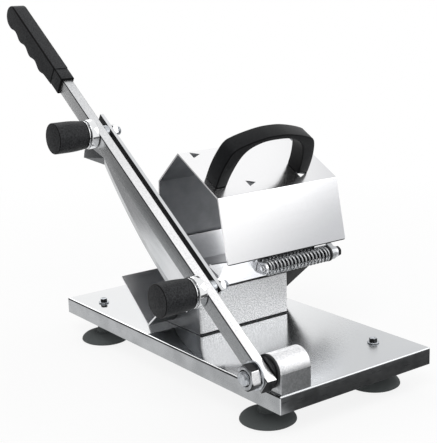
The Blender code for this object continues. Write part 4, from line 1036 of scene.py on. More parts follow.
def threaded_rod(low: float, high: float, radius: float, pitch: float) -> Surface:
    """Return a threaded rod end along X, with both ends chamfered.

    The radius falls by up to THREAD_DEPTH of the pitch in a V with a flat bottom, whose
    place along X moves on by one pitch in a full turn.

    Args:
        low: its lower end.
        high: its higher end.
        radius: its outer radius.
        pitch: the thread's pitch.

    Returns:
        The rod.
    """
    angle = np.linspace(0, math.tau, THREAD_ROUND, endpoint=False)
    rows = max(int((high - low) / pitch * THREAD_ROWS), THREAD_ROWS)
    along = np.linspace(low, high, rows)
    phase = (along[:, None] / pitch - angle[None] / math.tau) % 1.0
    groove = np.clip(1.25 - np.abs(phase - 0.5) * 4, 0, 1) * THREAD_DEPTH * pitch
    ends = np.minimum(along - low, high - along)
    limit = radius - np.maximum(THREAD_CHAMFER * pitch - ends, 0)
    return polar(along, angle, np.minimum(radius - groove, limit[:, None]))


def ring(low: float, high: float, bore: float, radius: float, edge: float) -> Surface:
    """Return a washer, collar or bush along X with rounded edges.

    Args:
        low: its lower face.
        high: its higher face.
        bore: its bore's radius.
        radius: its outer radius.
        edge: its edges' radius.

    Returns:
        The ring.
    """
    corners = np.array([(low, bore), (low, radius), (high, radius), (high, bore)])
    return lathe(rounded(corners, edge, 3, closed=True), looped=True)


# Places and pieces

# The places that shapes are laid out in. UPRIGHT turns X up to Z, SWAPPED exchanges X
# and Y, and STANDING takes X, Y, Z to Z, X, Y.
TRAY_LOW, TRAY_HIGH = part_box("base_plate")
BASE_PLACE = Matrix.Translation((TRAY_LOW.x, TRAY_LOW.y, TRAY_HIGH.z))
JOINT_PLACES = {joint["name"]: Vector(joint.get("pos_m", (0, 0, 0))) for joint in frame["joints"]}
ARM_PLACE = Matrix.Translation(JOINT_PLACES["arm_swing"]) @ Matrix.Rotation(ARM_TURN, 4, "X")
ROD_PLACE = Matrix.Translation((TRAY_LOW.x, *JOINT_PLACES["cover_lift"].yz))
UPRIGHT = Matrix.Rotation(-math.pi / 2, 4, "Y")
SWAPPED = Matrix(((0, 1, 0, 0), (1, 0, 0, 0), (0, 0, 1, 0), (0, 0, 0, 1)))
STANDING = Matrix(((0, 1, 0, 0), (0, 0, 1, 0), (1, 0, 0, 0), (0, 0, 0, 1)))


def add_object(name: str, data: bpy.types.ID) -> Piece:
    """Add an object to the scene.

    Args:
        name: its name.
        data: its mesh, light or camera.

    Returns:
        The object.
    """
    made = bpy.data.objects.new(name, data)
    bpy.context.scene.collection.objects.link(made)
    return made


def make_piece(
    name: str,
    surface: Surface,
    finish: Finish,
    body: Body,
    stands_for: tuple[str, ...] = (),
    smooth: float = SHARP_ANGLE,
) -> Piece:
    """Turn a surface into a finished piece that rides on a body.

    Args:
        name: the piece's name.
        surface: its shape, in the row frame.
        finish: its finish.
        body: the body that it rides on.
        stands_for: the CAD nodes that it stands for.
        smooth: edges sharper than this angle stay sharp.

    Returns:
        The new object.
    """
    mesh = bpy.data.meshes.new(name)
    mesh.from_pydata(surface.points.tolist(), [], surface.faces)
    shape = bmesh.new()
    shape.from_mesh(mesh)
    bmesh.ops.recalc_face_normals(shape, faces=shape.faces)
    shape.to_mesh(mesh)
    shape.free()
    mesh.shade_smooth()
    mesh.set_sharp_from_angle(angle=smooth)
    mesh.materials.append(finish.material())
    made = add_object(name, mesh)
    if stands_for:
        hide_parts(*stands_for)
    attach(made, body.value)
    log.info("%s: %d points, rides on %s", name, len(surface.points), body.value)
    return made


def soften_edges(made: Piece, width: float, segments: int = 2) -> None:
    """Round a piece's sharp edges a little with a Bevel.

    Args:
        made: the piece.
        width: how wide the rounding is.
        segments: how many chords it has.
    """
    bevel = made.modifiers.new("softened_edges", "BEVEL")
    bevel.width = width
    bevel.segments = segments
    bevel.limit_method = "ANGLE"
    bevel.angle_limit = SHARP_ANGLE


def paint_faces(made: Piece, finish: Finish, chosen: Chosen) -> None:
    """Give the chosen faces of a piece one more finish.

    Args:
        made: the piece.
        finish: the added finish.
        chosen: one truth value for each face.
    """
    made.data.materials.append(finish.material())
    indices = np.empty(len(made.data.polygons), np.int32)
    made.data.polygons.foreach_get("material_index", indices)
    indices[chosen] = len(made.data.materials) - 1
    made.data.polygons.foreach_set("material_index", indices)


def face_table(made: Piece, place: Matrix = Matrix.Identity(4)) -> tuple[Points, Points]:
    """Return the middles and normals of a piece's faces, as a place sees them.

    Args:
        made: the piece.
        place: the place whose own axes the answers are in.

    Returns:
        One row for each face, of its middle and of its normal.
    """
    count = len(made.data.polygons)
    middles, normals = np.empty(count * 3), np.empty(count * 3)
    made.data.polygons.foreach_get("center", middles)
    made.data.polygons.foreach_get("normal", normals)
    back = np.array(place.inverted(), float)
    middles = middles.reshape(-1, 3) @ back[:3, :3].T + back[:3, 3]
    return middles, normals.reshape(-1, 3) @ back[:3, :3].T


def dress(finish: Finish, *nodes: str) -> None:
    """Give CAD nodes whose shape is right a better material.

    Args:
        finish: the finish.
        *nodes: the nodes' names.
    """
    for name in nodes:
        node = frame["nodes"][name]
        if not node.material_slots:
            node.data.materials.append(finish.material())
        for slot in node.material_slots:
            slot.material = finish.material()
        log.info("%s: %s", name, finish.label)


@dataclass
class BaseTray:
    """The folded tray with its suction cups and their screws."""

    width: float = 0.168
    length: float = 0.340
    lip: float = 0.0153
    sheet: float = 0.0015
    bend: float = 0.0016
    corner: float = 0.0010
    foot_drop: float = 0.0378
    foot_radius: float = 0.0238
    sole_radius: float = 0.0220
    sole_land: float = 0.0060
    sole_dish: float = 0.0030
    rim: float = 0.0012
    dome: float = 0.0072
    neck: float = 0.0085
    groove: float = 0.0010
    groove_low: Pair = (0.0012, 0.0020)
    groove_high: Pair = (0.0032, 0.0022)
    cup_bore: float = 0.0030
    pip: float = 0.0004
    bead: float = 0.0004
    deck: float = 0.0200
    screw_radius: float = 0.0021
    washer_radius: float = 0.0052
    washer_sheet: float = 0.0010
    head_flats: float = 0.0064
    head_height: float = 0.0034
    plug_radius: float = 0.0016
    plug_rise: float = 0.0004
    plug_drop: float = 0.0005
    feet: tuple[tuple[str, float, float], ...] = (
        ("front_left", 0.0195, 0.040), ("front_right", 0.1390, 0.040),
        ("rear_left", 0.0195, 0.300), ("rear_right", 0.1390, 0.300),
    )

    def loop(self, inset: float) -> Points:
        """Return the tray's outline, set inwards."""
        high = (self.width - inset, self.length - inset)
        return rectangle_loop((inset, inset), high, max(self.corner - inset, FINE_EDGE))

    def tray(self) -> Surface:
        """Return the tray: its outline carried along a profile of inset and height.

        The profile runs from the top over the bend, down the lip, round the lip's edge
        and back up inside.

        Returns:
            The closed tray.
        """
        inner, deck = self.sheet, self.deck
        corners = np.array([
            (deck, 0), (0, 0), (0, -self.lip), (inner, -self.lip), (inner, -inner), (deck, -inner),
        ])
        outside = rounded(corners[:3], self.bend, 6)[:-1]
        edge = rounded(corners[1:5], EDGE, 2)[1:-1]
        inside_bend = rounded(corners[3:], EDGE, 2)[1:]
        profile = np.vstack((outside, edge, inside_bend))
        rows = [level_loop(self.loop(inset), height) for inset, height in profile]
        return closed_grid(np.stack(rows))

    def cup(self) -> Surface:
        """Return a suction cup: a dished sole, a domed skirt with a bead, and a neck.

        The skirt is a quarter of an ellipse between the rim and the neck.

        Returns:
            The cup, upright.
        """
        sole, top = -self.foot_drop, -self.sheet - GAP
        rim = sole + self.rim
        angle = np.linspace(0, math.pi / 2, 15)
        skirt = np.column_stack((
            rim + self.dome * np.sin(angle),
            self.neck + (self.foot_radius - self.neck) * np.cos(angle),
        ))
        dish = np.linspace(0, 1, 8)
        under = np.column_stack((
            sole + self.sole_dish * (1 - dish ** 2),
            self.pip + (self.sole_radius - self.sole_land) * dish,
        ))
        corners = np.array([under[-1], (sole, self.sole_radius), skirt[0], skirt[1]])
        lip = rounded(corners, self.bead, 3)[1:-1]
        crest, waist = skirt[-1][0], self.neck - self.groove
        (low, low_end), (high, high_end) = self.groove_low, self.groove_high
        neck = np.array([
            (crest + low, self.neck), (crest + low_end, waist), (top - high, waist),
            (top - high_end, self.neck), (top, self.neck), (top, self.cup_bore),
        ])
        profile = np.vstack((under, lip, skirt[1:], rounded(neck, self.bead, 2)))
        return lathe(profile).moved(UPRIGHT)

    def foot_screw(self) -> Surface:
        """Return a foot's screw: a turned washer and a hexagonal head.

        A plug fills the middle of the head to a little below its top.

        Returns:
            The screw, upright.
        """
        seat = GAP + self.washer_sheet
        washer = ring(GAP, seat, self.screw_radius, self.washer_radius, EDGE)
        head = hexagon_nut(seat, seat + self.head_height, self.head_flats, BORE_LIP)
        low, high = seat + self.plug_rise, seat + self.head_height - self.plug_drop
        plug = lathe(rounded(np.array([
            (low, self.pip), (low, self.plug_radius), (high, self.plug_radius),
            (high, self.pip),
        ]), FINE_EDGE, 2))
        return (washer + head + plug).moved(UPRIGHT)

    def build(self) -> None:
        """Build the tray with painted shade on its lips and bends, the cups, and their screws with
        painted highlights.
        """
        tray = make_piece(
            "tray", self.tray().moved(BASE_PLACE), TRAY_POLISH_AND_PAINTED_SHADE, Body.FRAME,
            ("base_plate",),
        )
        middles, normals = face_table(tray, BASE_PLACE)
        lip = (np.abs(normals[:, 2]) < LEANING) & (middles[:, 2] < -self.bend * 0.75)
        corner = np.abs(normals[:, :2]).min(axis=1) > 0.15
        # Painted shade: the lips take a greyer tone, and the front lip a darker one.
        paint_faces(tray, LIP_BRUSHED, lip & ~corner)
        paint_faces(tray, FRONT_LIP_PAINTED_SHADE, lip & (normals[:, 1] < -FACING))
        # Painted dark reflection: the bends along the tray's two sides are near black.
        bend = (middles[:, 2] > -self.bend) & (normals[:, 2] > 0.05) & (normals[:, 2] < 0.7)
        paint_faces(tray, DARK_PAINTED_SHADE, bend & (np.abs(normals[:, 0]) > 0.6))
        for label, x, y in self.feet:
            place = BASE_PLACE @ Matrix.Translation((x, y, 0))
            make_piece(
                "cup_" + label, self.cup().moved(place), RUBBER, Body.FRAME,
                ("suction_foot_" + label,),
            )
            screw = make_piece(
                "cup_screw_" + label, self.foot_screw().moved(place), BLACK_OXIDE_AND_PAINTED_SHADE,
                Body.FRAME, ("foot_screw_" + label,),
            )
            middles, normals = face_table(screw, place)
            # Painted highlight: the top of each screw's black head is bright zinc; the washer is
            # zinc.
            edge = (middles[:, 2] > 0.0035) & (np.abs(normals[:, 2]) > 0.3)
            washer = middles[:, 2] < GAP + self.washer_sheet + 0.0001
            paint_faces(screw, ZINC, washer | edge)


@dataclass
class Stand:
    """The folded stand under the trough, cut to the trough's V."""

    front: float = 0.0350
    rear: float = 0.1380
    middle: float = 0.1995
    half: float = 0.0455
    sheet: float = 0.0020
    corner: float = 0.0022
    keel: float = 0.0040
    fold: float = 0.0415
    fold_half: float = 0.0445
    seam: float = 0.0014
    flange_width: float = 0.0150
    flange_setback: float = 0.0060
    flange_corner: float = 0.0020

    def shell(self) -> Surface:
        """Return the stand's walls: a rounded rectangle with a V-shaped top edge.

        The top edge's height grows with the distance from the middle, as the trough's
        underside does.

        Returns:
            The walls.
        """
        loops, heights = [], []
        slope = (self.fold - self.keel) / self.fold_half
        for inset, corner in ((0.0, self.corner), (self.sheet, self.corner - self.sheet + 0.0001)):
            low = (self.front + inset, self.middle - self.half + inset)
            high = (self.rear - inset, self.middle + self.half - inset)
            loop = rectangle_loop(low, high, max(corner, FINE_EDGE), side_points=23)
            across = np.minimum(np.abs(loop[:, 1] - self.middle), self.half - self.sheet)
            loops.append(loop)
            heights.append(self.keel + across * slope - 2 * GAP - 0.0002)
        outer, inner = loops
        rows = (
            (outer, GAP), (outer, GAP + self.seam), (outer, heights[0]), (inner, heights[1]),
            (inner, GAP),
        )
        return closed_grid(np.stack([level_loop(*row) for row in rows]), looped=True)

    def flange(self, side: int) -> Surface:
        """Return one of the turned-in floor flanges.

        Args:
            side: -1 for the near one and 1 for the far one.

        Returns:
            The flange.
        """
        outer = self.middle + side * (self.half - self.sheet - GAP)
        low, high = sorted((outer, self.middle + side * (self.half - self.flange_width)))
        outline = rectangle_loop(
            (self.front + self.flange_setback, low), (self.rear - self.flange_setback, high),
            self.flange_corner,
        )
        flat = carried(outline, round_ends(GAP, GAP + self.sheet, FINE_EDGE, 2))
        return flat.moved(STANDING)

    def build(self) -> None:
        """Build the stand, with painted shade on its front panel and along its foot, and dress its
        screws.
        """
        shape = self.shell() + self.flange(-1) + self.flange(1)
        stand = make_piece(
            "stand", shape.moved(BASE_PLACE), STAND_BLASTED, Body.FRAME,
            ("stand_column",),
        )
        middles, normals = face_table(stand, BASE_PLACE)
        # Painted shade: the front panel is darker.
        panel = (normals[:, 0] < -FACING) & (np.abs(middles[:, 0] - self.front) < 0.0005)
        paint_faces(stand, STAND_PANEL_PAINTED_SHADE, panel)
        # Painted shade: a dark band along the foot of the walls, where they meet the tray.
        seam = (np.abs(normals[:, 2]) < LEANING) & (middles[:, 2] < GAP + self.seam * 0.6)
        paint_faces(stand, DARK_PAINTED_SHADE, seam & ~panel)
        dress(ZINC, *("stand_screw_%d" % number for number in range(1, 5)))


@dataclass
class FeedTrough:
    """The V trough with steep walls and bent-in wings."""

    front: float = 0.0080
    rear: float = 0.1675
    middle: float = 0.1995
    keel: float = 0.0040
    fold_half: float = 0.0445
    fold: float = 0.0415
    top_half: float = 0.0530
    top: float = 0.0655
    sheet: float = 0.0015
    setback: float = 0.0500
    lean: float = 0.0020
    wing_reach: float = 0.0170
    wing_bend: float = 0.0035
    wing_share: float = 0.45
    fold_bend: float = 0.0030
    slit: float = 0.0004
    corner: float = 0.0012
    black_shade_start: float = 0.1300

    def section(self) -> Points:
        """Return the corners of the trough's outer face, from the near to the far top."""
        return np.array([
            (self.middle - self.top_half, self.top), (self.middle - self.fold_half, self.fold),
            (self.middle, self.keel),
            (self.middle + self.fold_half, self.fold), (self.middle + self.top_half, self.top),
        ])

    def shape(self) -> Surface:
        """Return the folded trough.

        The wings are the parts of the walls before the line of their bend. They are
        carried inwards in proportion to their distance before it.

        Returns:
            The trough.
        """
        sheet = FoldedSheet(self.section()[::-1], self.fold_bend, self.sheet)
        low, high, end = (sheet.corner_distance(index) for index in (1, 3, 4))
        wall = self.front + self.setback
        root, crest = wall - self.lean, wall + self.lean
        wing = crest - self.wing_reach
        share, slit = self.wing_share, self.slit
        start = low * (1 - share)
        outline = np.array([
            (self.front, low + slit), (wall, low + slit), (wall, low),
            (root, start), (wing, 0), (self.rear, 0),
            (self.rear, end), (wing, end), (root, end - start),
            (wall, high), (wall, high - slit), (self.front, high - slit),
        ])
        creases = [
            np.array([(root, start), (crest, 0)]),
            np.array([(root, end - start), (crest, end)]),
            np.array([(self.black_shade_start, 0), (self.black_shade_start, end)]),
        ]
        outline = rounded(outline, self.corner, 3, closed=True)
        surface = sheet.folded(outline, [], creases)
        points = surface.points.copy()
        height = (points[:, 2] - self.fold) / (self.top - self.fold)
        rise = np.clip((height - share) / (1 - share), 0, 1)
        line = root + (crest - root) * rise
        before = np.clip((line - points[:, 0]) / self.wing_reach, 0, 1) * (height > share)
        points[:, 1] -= np.sign(points[:, 1] - self.middle) * before * self.wing_bend
        return Surface(points, surface.faces)

    def build(self) -> None:
        """Build the trough, paint shade on its underside, and dress the ledge for the cover."""
        trough = make_piece(
            "trough", self.shape().moved(BASE_PLACE), COVER_POLISH_AND_PAINTED_SHADE, Body.FRAME,
            ("feed_trough",), FOLD_ANGLE,
        )
        middles, normals = face_table(trough, BASE_PLACE)
        # Painted shade under the trough: dark grey under its front, near black behind the stand.
        below = (normals[:, 2] < -LEANING) & (middles[:, 2] < self.fold - 0.0005)
        paint_faces(trough, TROUGH_FRONT_PAINTED_SHADE, below & (middles[:, 0] < self.black_shade_start))
        paint_faces(trough, TROUGH_REAR_PAINTED_SHADE, below & (middles[:, 0] > self.black_shade_start))
        soften_edges(trough, FINE_EDGE)
        dress(LIP_BRUSHED, "cover_rest_ledge")


@dataclass
class Pivot:
    """The pivot housing with the shaft, washers and nut of the lever arm."""

    centre_y: float = 0.0153
    centre_z: float = 0.0166
    front: float = 0.0020
    rear: float = 0.0330
    radius: float = 0.0138
    bore: float = 0.0088
    pocket: float = 0.0105
    pocket_depth: float = 0.0050
    shaft: float = 0.0066
    thread: float = 0.0058
    arm_front: float = -0.0120
    arm_rear: float = -0.0020
    washer: float = 0.0120
    washer_sheet: float = 0.0014
    nut_flats: float = 0.0190
    nut_height: float = 0.0085
    thread_proud: float = 0.0030
    thread_pitch: float = 0.00175
    thrust_sheet: float = 0.0016
    edge: float = 0.0007
    bore_edge: float = 0.0004
    shaft_edge: float = 0.0005
    shaft_setback: float = 0.0010
    nut_turn: float = math.radians(12)

    def housing(self) -> Surface:
        """Return the housing: round above, square below, bored through.

        The outer radius is the barrel's above the axis, and the distance to the nearer
        of the straight side and the foot below it.

        Returns:
            The housing, along X.
        """
        down = self.centre_z - GAP
        corner = math.atan2(down, self.radius)
        angle = np.unique(np.concatenate((
            np.linspace(0, math.tau, FINE_ROUND, endpoint=False),
            (math.tau - corner, math.pi + corner),
        )))
        cosine, sine = np.cos(angle), np.sin(angle)
        side = self.radius / np.maximum(np.abs(cosine), TINY)
        foot = down / np.maximum(-sine, TINY)
        outer = np.where(sine >= 0, self.radius, np.minimum(side, foot))
        stations = round_ends(self.front, self.rear, self.edge)
        floor, edge = self.rear - self.pocket_depth, self.bore_edge
        hollow = np.array([
            (self.rear, self.pocket + edge), (self.rear - edge, self.pocket),
            (floor, self.pocket), (floor, self.bore),
            (self.front + edge, self.bore), (self.front, self.bore + edge),
        ])
        rows = np.vstack((
            outer - stations[:, 1:], np.repeat(hollow[:, 1:], len(angle), axis=1),
        ))
        places = np.concatenate((stations[:, 0], hollow[:, 0]))
        return polar(places, angle, rows, looped=True)

    def paint_nut(self, nut: Piece, bore: float) -> None:
        """Paint the nut's flats, bore and lower side black, as dark reflection and shade.

        One pair of flats is painted bright instead, as a painted highlight.

        Args:
            nut: the finished nut.
            bore: its bore's radius.
        """
        place = ARM_PLACE @ Matrix.Rotation(self.nut_turn, 4, "X")
        middles, normals = face_table(nut, place)
        # Painted highlight on one pair of flats; painted dark reflection and shade on the others,
        # on the bore and on the lower side.
        rubbed = np.abs(normals @ (0, -0.5, math.sqrt(0.75))) > FACING
        deep = np.hypot(middles[:, 1], middles[:, 2]) < bore + 0.0010
        along = np.abs(normals[:, 0])
        below = (face_table(nut)[1][:, 2] < -0.1) & (along < 0.98)
        paint_faces(nut, BLACK_OXIDE_AND_PAINTED_SHADE, ((along < 0.3) & ~rubbed) | deep | below)
        paint_faces(nut, ARM_GROUND_AND_PAINTED_LIGHT, rubbed & ~deep)

    def build(self) -> None:
        """Build the housing on the frame, and what turns with the arm."""
        on_base = BASE_PLACE @ Matrix.Translation((0, self.centre_y, self.centre_z))
        housing = make_piece(
            "housing", self.housing().moved(on_base), HOUSING_SATIN, Body.FRAME,
            ("pivot_housing",),
        )
        _, normals = face_table(housing)
        # The milled sides and the ends are greyer, partly as painted shade.
        milled = (normals[:, 2] < 0.02) | (np.abs(normals[:, 0]) > FACING)
        paint_faces(housing, HOUSING_MILLED_AND_PAINTED_SHADE, milled)
        low, high = self.front - GAP - self.thrust_sheet, self.front - GAP
        thrust = ring(low, high, self.shaft + 0.0001, self.radius, 0.0004)
        make_piece(
            "housing_washer", thrust.moved(on_base), NYLON, Body.FRAME,
            ("thrust_washer",),
        )
        bore = self.thread + GAP
        inner_face = self.arm_rear + GAP + self.washer_sheet
        inner = ring(self.arm_rear + GAP, inner_face, bore, self.washer, EDGE)
        outer_face = self.arm_front - GAP - self.washer_sheet
        outer = ring(outer_face, self.arm_front - GAP, bore, self.washer, EDGE)
        nut_face = outer_face - GAP
        nut = hexagon_nut(nut_face - self.nut_height, nut_face, self.nut_flats, bore)
        nut = nut.moved(Matrix.Rotation(self.nut_turn, 4, "X"))
        thread_end = nut_face - self.nut_height - self.thread_proud
        shoulder = inner_face + GAP
        rear_end = self.rear - self.shaft_setback
        plain = lathe(rounded(np.array([
            (self.arm_front, PIP), (self.arm_front, self.thread), (shoulder, self.thread),
            (shoulder, self.shaft), (rear_end, self.shaft), (rear_end, PIP),
        ]), self.shaft_edge, 3))
        thread = threaded_rod(
            thread_end, self.arm_front + OVERLAP, self.thread, self.thread_pitch
        )
        for name, surface, finish, slot, node in (
            ("arm_washer_inner", inner, BLACK_OXIDE_AND_PAINTED_SHADE, Slot.ZINC, "pivot_washer_inner"),
            ("arm_washer_outer", outer, ZINC, Slot.ZINC, "pivot_washer_outer"),
            ("arm_nut", nut, NUT_CHROME_PAINTED_SHADE, Slot.CHROME, "pivot_nut"),
            ("arm_shaft", plain + thread, ZINC, Slot.ZINC, "pivot_shaft"),
        ):
            made = make_piece(name, surface.moved(ARM_PLACE), finish, Body.ARM, (node,))
            if name == "arm_nut":
                self.paint_nut(made, bore)
        dress(BRONZE, "pivot_bush_front", "pivot_bush_rear")
        dress(ZINC, "housing_screw_1", "housing_screw_2")
        dress(BLACK_OXIDE_AND_PAINTED_SHADE, "shaft_clip")


@dataclass
class LeverArm:
    """The ground bar and its hand grip, in the arm's place."""

    front: float = -0.0120
    rear: float = -0.0020
    height: float = 0.0140
    heel: float = 0.0133
    edge: float = 0.0009
    grip_start: float = 0.3512
    grip_length: float = 0.1220
    grip_width: float = 0.0150
    grip_top: float = 0.0095
    ferrule_length: float = 0.0150
    ferrule_bottom: float = 0.0092
    ferrule_step: float = 0.0005
    belly: float = 0.0115
    scallop: float = 0.0015
    scallop_pitch: float = 0.0230
    first_crest: float = 0.0400
    scallop_start: float = 0.0285
    tip_length: float = 0.0110
    rounding: float = 0.0016
    bar_in_grip: float = 0.0900
    neck_half: float = 0.0040

    def bar(self) -> Surface:
        """Return the bar: a rounded rectangle carried along the arm.

        Returns:
            The bar, in the arm's place.
        """
        outline = rectangle_loop(
            (self.front, -self.height / 2), (self.rear, self.height / 2), self.edge
        )
        stations = round_ends(-self.heel, self.grip_start + self.bar_in_grip, 0.0005, 3)
        return carried(outline, stations).moved(SWAPPED)

    def depth(self, along: Points) -> Points:
        """Return how far the grip's underside lies below the arm's axis.

        It widens in a straight line behind the ferrule, and then follows a cosine with
        one crest between each two fingers.

        Args:
            along: distances from the grip's start.

        Returns:
            One depth for each distance.
        """
        wave = np.cos(math.tau * (along - self.first_crest) / self.scallop_pitch)
        share = (along - self.ferrule_length) / (self.scallop_start - self.ferrule_length)
        narrow = self.belly - self.scallop
        lead = self.ferrule_bottom + (narrow - self.ferrule_bottom) * np.clip(share, 0, 1)
        return np.where(along >= self.scallop_start, self.belly + self.scallop * wave, lead)

    def outline(self) -> Points:
        """Return the grip's side outline behind the ferrule, as (along, up).

        The top is straight and the tip is half an ellipse.

        Returns:
            The outline.
        """
        tip = self.grip_length - self.tip_length
        low = -float(self.depth(np.array([tip]))[0])
        middle = (self.grip_top + low) / 2
        angle = np.linspace(math.pi / 2, -math.pi / 2, 25)
        end = np.column_stack((
            tip + self.tip_length * np.cos(angle),
            middle + (self.grip_top - middle) * np.sin(angle),
        ))
        along = np.linspace(tip, self.ferrule_length, 90)[1:]
        under = np.column_stack((along, -self.depth(along)))
        top = np.linspace(self.ferrule_length, tip, 24)[:-1]
        over = level_loop(top, self.grip_top)
        return np.vstack((over, end, under))

    def grip(self) -> Surface:
        """Return the moulded grip: its outline carried across, and the smaller ferrule.

        The groove between grip and ferrule is a narrow band, set further in.

        Returns:
            The grip, in the arm's place.
        """
        middle, half = (self.front + self.rear) / 2, self.grip_width / 2
        stations = round_ends(middle - half, middle + half, self.rounding, 6)
        shape = carried(self.outline(), stations)
        end, neck = self.ferrule_length, self.neck_half
        for steps, corner, ends in (
            (1, 0.0012, round_ends(0, end + OVERLAP, 0.0006, 3)),
            (3, 0.0008, np.array([(end - neck, 0), (end + neck, 0)])),
        ):
            inset = steps * self.ferrule_step
            block = rectangle_loop(
                (middle - half + inset, -self.ferrule_bottom + inset),
                (middle + half - inset, self.grip_top - inset), corner,
            )
            shape += carried(block, ends).moved(SWAPPED)
        return shape.moved(Matrix.Translation((0, self.grip_start, 0)))

    def build(self) -> None:
        """Build the bar and the grip, and paint light and shade on their sides, edges, ends and
        steps.
        """
        bar = make_piece(
            "arm_bar", self.bar().moved(ARM_PLACE), ARM_GROUND_AND_PAINTED_LIGHT, Body.ARM,
            ("lever_arm",),
        )
        middles, normals = face_table(bar, ARM_PLACE)
        # Painted light and shade on the bar's sides.
        paint_faces(bar, ARM_SIDE_PAINTED_LIGHT_AND_SHADE, np.abs(normals[:, 0]) > FACING)
        # Painted shade on the bar's rounded edges and on its end.
        corner = np.abs(normals).max(axis=1) < 0.99
        paint_faces(bar, ARM_PAINTED_SHADE, corner | (middles[:, 1] < 0.0004 - self.heel))
        grip = make_piece(
            "grip", self.grip().moved(ARM_PLACE), BLACK_ABS, Body.ARM,
            ("hand_grip",),
        )
        middles, normals = face_table(grip, ARM_PLACE)
        # Painted shade on the grip's rounded edges and on its steps.
        side = np.abs(normals[:, 0])
        along = middles[:, 1] - self.grip_start
        step = (np.abs(along - self.ferrule_length) < 0.0008) | (along < 0.0006)
        paint_faces(grip, ABS_PAINTED_SHADE, ((side > 0.35) & (side < 0.94)) | step)


@dataclass
class Blade:
    """The blade: a plate with a bowed, ground edge and a thinned point."""

    front: float = 0.0030
    thickness: float = 0.0035
    top: float = 0.0062
    start: float = 0.0792
    heel: float = 0.1062
    heel_depth: float = 0.0540
    edge_end: float = 0.2755
    edge_end_depth: float = 0.0347
    bow: float = 0.0072
    grind: float = 0.0090
    land: float = 0.0004
    end: float = 0.3012
    root_depth: float = 0.0335
    tip: float = 0.3102
    tip_depth: float = 0.0466
    corner: float = 0.3076
    corner_depth: float = 0.0546
    tip_land: float = 0.0012
    shade_depth: float = 0.0120
    point_depth: float = 0.0300
    sharp: float = math.radians(12)
    softening: float = 0.00015
    stations: int = 96

    def outlines(self) -> tuple[Points, Points]:
        """Return the outline on the front face and on the back, as (along, up).

        The edge is the straight line between its two ends plus a parabola. On the front
        face it is set in by the width of the ground band.

        Returns:
            The front outline and the back outline.
        """
        share = np.linspace(0, 1, self.stations + 1)
        along = self.heel + (self.edge_end - self.heel) * share
        depth = self.heel_depth + (self.edge_end_depth - self.heel_depth) * share
        depth = depth + self.bow * share * (1 - share) * 4
        edge = np.column_stack((along, -depth))
        slant = np.array((self.start - self.heel, self.top + self.heel_depth))
        slant /= np.linalg.norm(slant)
        set_in = edge + np.array((0, self.grind))
        set_in[0] = edge[0] + slant * self.grind
        back_top = np.array((self.start, self.top))
        share_down = (self.top + self.shade_depth) / (self.top + self.heel_depth)
        head = np.array([
            (self.end, -self.shade_depth), (self.end, self.top), back_top,
            back_top + (edge[0] - back_top) * share_down,
        ])
        beak = np.array([
            (self.corner, -self.corner_depth), (self.tip, -self.tip_depth),
            (self.end, -self.root_depth),
        ])
        return np.vstack((head, set_in, beak)), np.vstack((head, edge, beak))

    def shape(self) -> Surface:
        """Return the plate: the front outline, the back outline with its land, the back.

        Returns:
            The plate.
        """
        front_face, full = self.outlines()
        back = self.front + self.thickness
        count = len(full)
        first = np.full(count, self.front)
        first[[-3, -2]] = back - self.tip_land
        rows = np.stack((
            np.column_stack((first, front_face)),
            np.column_stack((np.full(count, back - self.land), full)),
            np.column_stack((np.full(count, back), full)),
        ))
        surface = closed_grid(rows)
        faces = [face for face in surface.faces if face != list(range(count))]
        faces.append([0, 1, 2, 3])
        faces.append([0, *range(3, count - 3), count - 1])
        faces.append([count - 4, count - 3, count - 2, count - 1])
        return Surface(surface.points, faces)

    def build(self) -> None:
        """Build the blade, and paint its ground band, dark point and the shade on its upper strip.
        """
        blade = make_piece(
            "blade_plate", self.shape().moved(ARM_PLACE), BLADE_FACE, Body.ARM,
            ("blade",), self.sharp,
        )
        middles, normals = face_table(blade, ARM_PLACE)
        slanted = (normals[:, 0] > -FLAT) & (normals[:, 0] < FACING) & (middles[:, 2] < 0)
        paint_faces(blade, BLADE_GRIND, slanted)
        point = (middles[:, 1] > self.edge_end) & (middles[:, 2] < -self.point_depth)
        paint_faces(blade, BLADE_POINT, point)
        # Painted shade on the strip of the front face under the arm.
        shaded = (normals[:, 0] < -FACING) & (middles[:, 2] > -self.shade_depth)
        paint_faces(blade, ARM_PAINTED_SHADE, shaded)
        soften_edges(blade, self.softening, 1)


